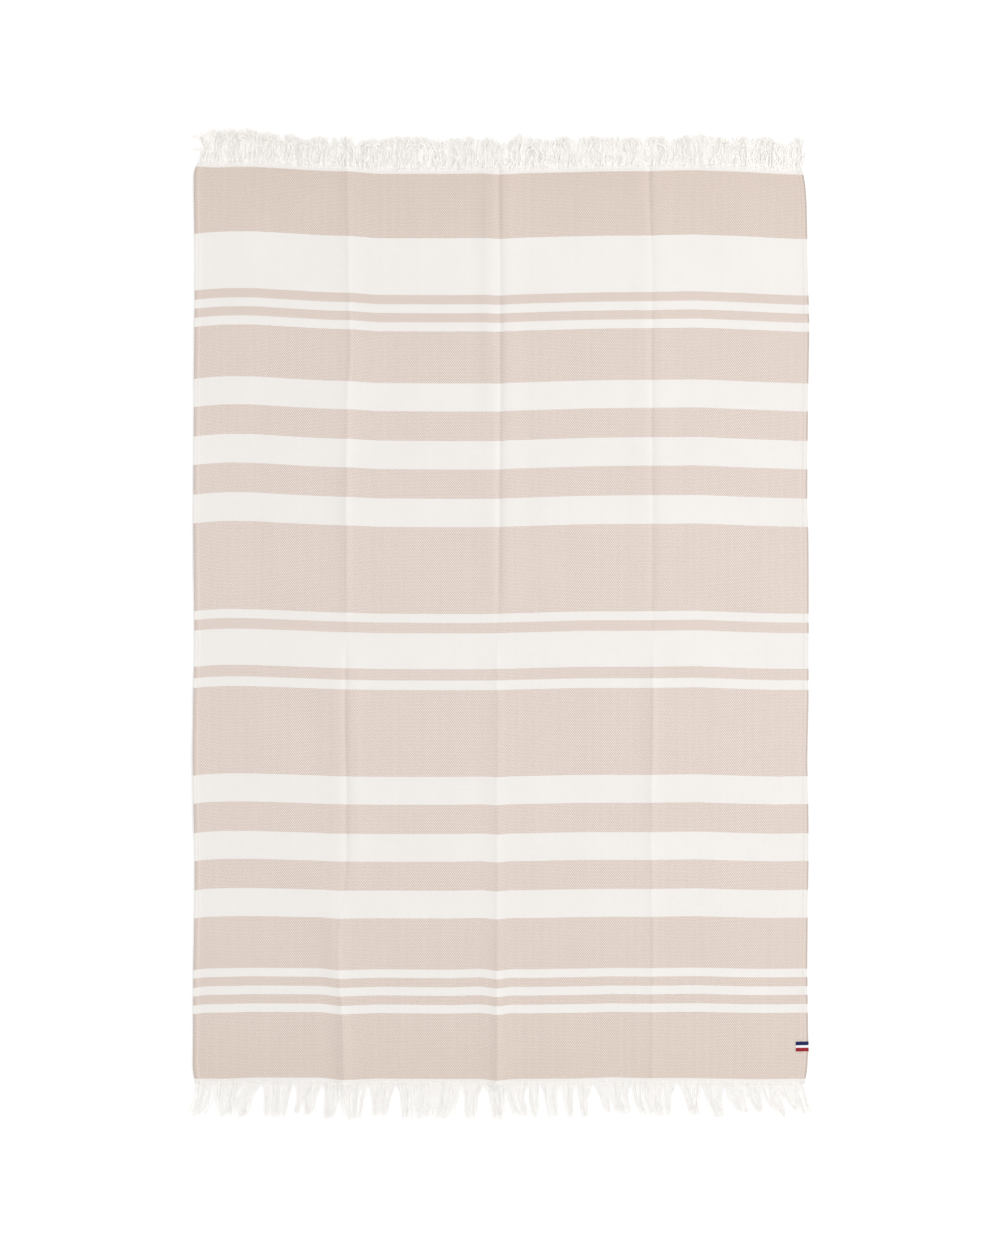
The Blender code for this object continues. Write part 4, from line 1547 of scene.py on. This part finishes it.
@dataclass
class Ribbon:
    """The small tricolour ribbon, folded round the right edge and sewn down."""

    lie: Lie
    y: float = -0.6844
    wide: float = 0.0156
    tilt: float = 1.6
    long: float = 0.0210
    under_long: float = 0.0170
    thick: float = 0.00045
    clear: float = 0.00012
    rounded: float = 0.00010
    hem_wide: float = 0.0086
    past_edge: float = 0.0009
    first_step: float = 0.0040
    fold_from: float = 0.0025
    fold_steps: int = 10
    sharp: float = 50.0
    # How it climbs the hem: x from the hem's inner edge, then the height over the cloth and
    # over the hem.
    over_cloth: tuple[Span, ...] = ((-0.0022, 0.00004), (-0.0008, 0.0003))
    over_hem: tuple[Span, ...] = ((0.0006, -0.0002), (0.0018, 0.0))

    def section(self) -> list[Span]:
        """The ribbon's middle line from its upper end round the edge to its lower end.

        Returns:
            Places as x and z.
        """
        edge = self.lie.edge(np.array([self.y]), Side.RIGHT)[0]
        half = self.thick / 2.0
        low = self.lie.clear + half
        lift = self.lie.tag_lift + self.clear + low
        top = column(HEM, "over").max() + lift
        flat = Cloth(self.lie).thick + lift
        inner, outer = edge - self.hem_wide, edge + self.past_edge
        line = [(outer - self.long, flat), (outer - self.long + self.first_step, flat)]
        line += [(inner + x, flat + z) for x, z in self.over_cloth]
        line += [(inner + x, top + z) for x, z in self.over_hem]
        line.append((edge - self.fold_from, top))
        radius = (top - low) / 2.0
        for step in range(self.fold_steps + 1):
            angle = math.pi / 2.0 - math.pi * step / self.fold_steps
            line.append((outer - half - radius + radius * math.cos(angle),
                         low + radius + radius * math.sin(angle)))
        line.append((outer - self.under_long, low))
        return line

    def build(self) -> bpy.types.Object:
        """Extrudes the ribbon's end round the fold, then gives it its thickness.

        Returns:
            The ribbon.
        """
        line = self.section()
        deselect_all()
        bpy.ops.mesh.primitive_plane_add(size=1.0, location=(0.0, 0.0, 0.0))
        obj = bpy.context.active_object
        obj.name = obj.data.name = "tricolour_ribbon"
        low, high = self.y - self.wide / 2.0, self.y + self.wide / 2.0
        for vert in obj.data.vertices:
            x, z = line[0] if vert.co.x < 0.0 else line[1]
            vert.co = (x, low if vert.co.y < 0.0 else high, z)
        bpy.ops.object.mode_set(mode="EDIT")
        bpy.ops.mesh.select_mode(type="EDGE")
        shaped = bmesh.from_edit_mesh(obj.data)
        for edge in shaped.edges:
            edge.select_set(all(abs(vert.co.x - line[1][0]) < HAIR for vert in edge.verts))
        bmesh.update_edit_mesh(obj.data)
        for before, after in zip(line[1:-1], line[2:]):
            move = (after[0] - before[0], 0.0, after[1] - before[1])
            bpy.ops.mesh.extrude_region_move(TRANSFORM_OT_translate={"value": move})
        bpy.ops.mesh.select_all(action="SELECT")
        bpy.ops.mesh.normals_make_consistent(inside=False)
        bpy.ops.object.mode_set(mode="OBJECT")
        self.map_along(obj, line)
        wall = obj.modifiers.new("thickness", "SOLIDIFY")
        wall.thickness, wall.offset = self.thick, 0.0
        rounded = obj.modifiers.new("rounding", "BEVEL")
        rounded.width, rounded.segments, rounded.limit_method = self.rounded, 2, "ANGLE"
        for modifier in ("thickness", "rounding"):
            bpy.ops.object.modifier_apply(modifier=modifier)
        middle = Matrix.Translation((line[0][0] + self.long / 2.0, self.y, 0.0))
        turn = Matrix.Rotation(math.radians(self.tilt), 4, "Z")
        obj.data.transform(middle @ turn @ middle.inverted())
        obj.data.shade_smooth()
        obj.data.set_sharp_from_angle(angle=math.radians(self.sharp))
        return obj

    def map_along(self, obj: bpy.types.Object, line: list[Span]) -> None:
        """Maps the ribbon flat, across its stripes and along its length.

        Args:
            obj: The ribbon before it has its thickness.
            line: The section that it follows.
        """
        places = np.array(line)
        runs = np.hypot(*np.diff(places, axis=0).T)
        lengths = np.concatenate([[0.0], np.cumsum(runs)])
        while obj.data.uv_layers:
            obj.data.uv_layers.remove(obj.data.uv_layers[0])
        layer = obj.data.uv_layers.new(name=WEAVE_MAP)
        for loop in obj.data.loops:
            co = obj.data.vertices[loop.vertex_index].co
            nearest = int(np.argmin(np.hypot(places[:, 0] - co.x, places[:, 1] - co.z)))
            layer.data[loop.index].uv = (co.y - (self.y - self.wide / 2.0), lengths[nearest])


@dataclass
class Studio:
    """The plain floor, the soft light and the camera straight above."""

    floor_size: float = 40.0
    floor_pale: Colour = (0.955, 0.955, 0.955)
    floor_paler: Colour = (0.965, 0.965, 0.965)
    floor_rough: float = 0.95
    specks: Grain = Grain(0.4, 0.4, 2.0)
    light_size: float = 1.6
    light_watts: float = 118.0
    light_place: tuple[float, float, float] = (5.0, 0.4, 3.2)
    light_turn: float = 57.0
    camera_high: float = 4.79
    camera_y: float = -0.0008
    lens: float = 85.0
    film_wide: float = 36.0
    see_far: float = 100.0

    def floor(self) -> bpy.types.Object:
        """Lays the plain pale floor.

        Returns:
            The floor.
        """
        deselect_all()
        bpy.ops.mesh.primitive_plane_add(size=self.floor_size, location=(0.0, 0.0, 0.0))
        floor = bpy.context.active_object
        floor.name = floor.data.name = "studio_floor"
        graph = Graph("studio_floor")
        place = graph.out(graph.node("ShaderNodeTexCoord"), "Object")
        speck = graph.noise(*graph.split(place), self.specks)
        colour = graph.mix(speck, self.floor_pale, self.floor_paler)
        graph.surface(colour, self.floor_rough)
        floor.data.materials.append(graph.material)
        return floor

    def lights(self) -> None:
        """Adds an even pale surround and one broad soft light from the right."""
        world = bpy.data.worlds.new("studio")
        bpy.context.scene.world = world
        world.use_nodes = True
        surround = world.node_tree.nodes["Background"]
        surround.inputs["Color"].default_value = (1.0, 1.0, 1.0, 1.0)
        surround.inputs["Strength"].default_value = 1.0
        light = bpy.data.lights.new("soft_light", "AREA")
        light.shape, light.size, light.energy = "SQUARE", self.light_size, self.light_watts
        lamp = bpy.data.objects.new("soft_light", light)
        lamp.location = self.light_place
        lamp.rotation_euler = (0.0, math.radians(self.light_turn), 0.0)
        lamp.visible_camera = False
        bpy.context.scene.collection.objects.link(lamp)

    def camera(self) -> None:
        """Sets the camera straight above the towel."""
        data = bpy.data.cameras.new("camera")
        data.lens, data.sensor_width, data.clip_end = self.lens, self.film_wide, self.see_far
        camera = bpy.data.objects.new("camera", data)
        camera.location = (0.0, self.camera_y, self.camera_high)
        scene = bpy.context.scene
        scene.collection.objects.link(camera)
        scene.camera = camera
        scene.view_settings.view_transform = "Standard"
        scene.view_settings.look = "None"


# ---------------------------------------------------------------- the whole towel


def ready(piece: bpy.types.Object, material: bpy.types.Material) -> None:
    """Dresses a piece, sets it on its body and reports it.

    Args:
        piece: The finished piece.
        material: Its finish.
    """
    piece.data.materials.clear()
    piece.data.materials.append(material)
    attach(piece, BODY)
    piece.data.calc_loop_triangles()
    LOG.info("%s: %d triangles", piece.name, len(piece.data.loop_triangles))


def main() -> None:
    """Builds the towel and its studio in order."""
    logging.basicConfig(level=logging.INFO, format="%(message)s")
    studio = Studio()
    studio.camera()
    studio.lights()
    studio.floor()

    lie = Lie()
    cloth = Cloth(lie)
    sheet = cloth.build()
    ready(sheet, BandedCotton().make())
    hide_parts("cloth")

    thread = PlainThread("hem_thread", (0.80, 0.74, 0.68)).make()
    stitches = [HemStitches(lie).build(side) for side in Side]
    for row in stitches:
        ready(row, thread)

    low = LowFringe(lie, "low_fringe", cloth.low_y, -1.0, yarns=1200, steps=28,
                    radius=0.00033, crimp=0.30, crimp_long=0.0058, stack=0.0009,
                    slack=1.03, seed=11)
    high = HighFringe(lie, "high_fringe", cloth.high_y, 1.0, yarns=2700, steps=26,
                      radius=0.00035, crimp=0.42, crimp_long=0.0060, stack=0.0016,
                      slack=1.10, seed=25, inset_left=0.0020, inset_right=0.0002,
                      freeing=0.0025)
    # Both creams are paler than the cloth's own: painted light against the shade between the
    # yarns. The low fringe's root cream is as pale, painted light against the shade at the cloth's
    # end.
    low_yarn = FringeYarn("low_fringe_yarn", (0.980, 0.956, 0.924),
                          root_cream=(0.975, 0.951, 0.918), painted_lock_shade=0.060,
                          painted_tip_light=0.0).make()
    high_yarn = FringeYarn("high_fringe_yarn", (0.987, 0.961, 0.924)).make()
    for fringe, node, yarn, parts in ((low, "fringe_low", low_yarn, 2),
                                      (high, "fringe_high", high_yarn, 3)):
        for part in range(parts):
            piece = fringe.build(part, parts)
            ready(piece, yarn)
            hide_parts(node)

    ribbon = Ribbon(lie)
    tag = ribbon.build()
    ready(tag, TricolourRibbon().make(ribbon.wide))
    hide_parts("tag")


if __name__ == "__main__":
    main()
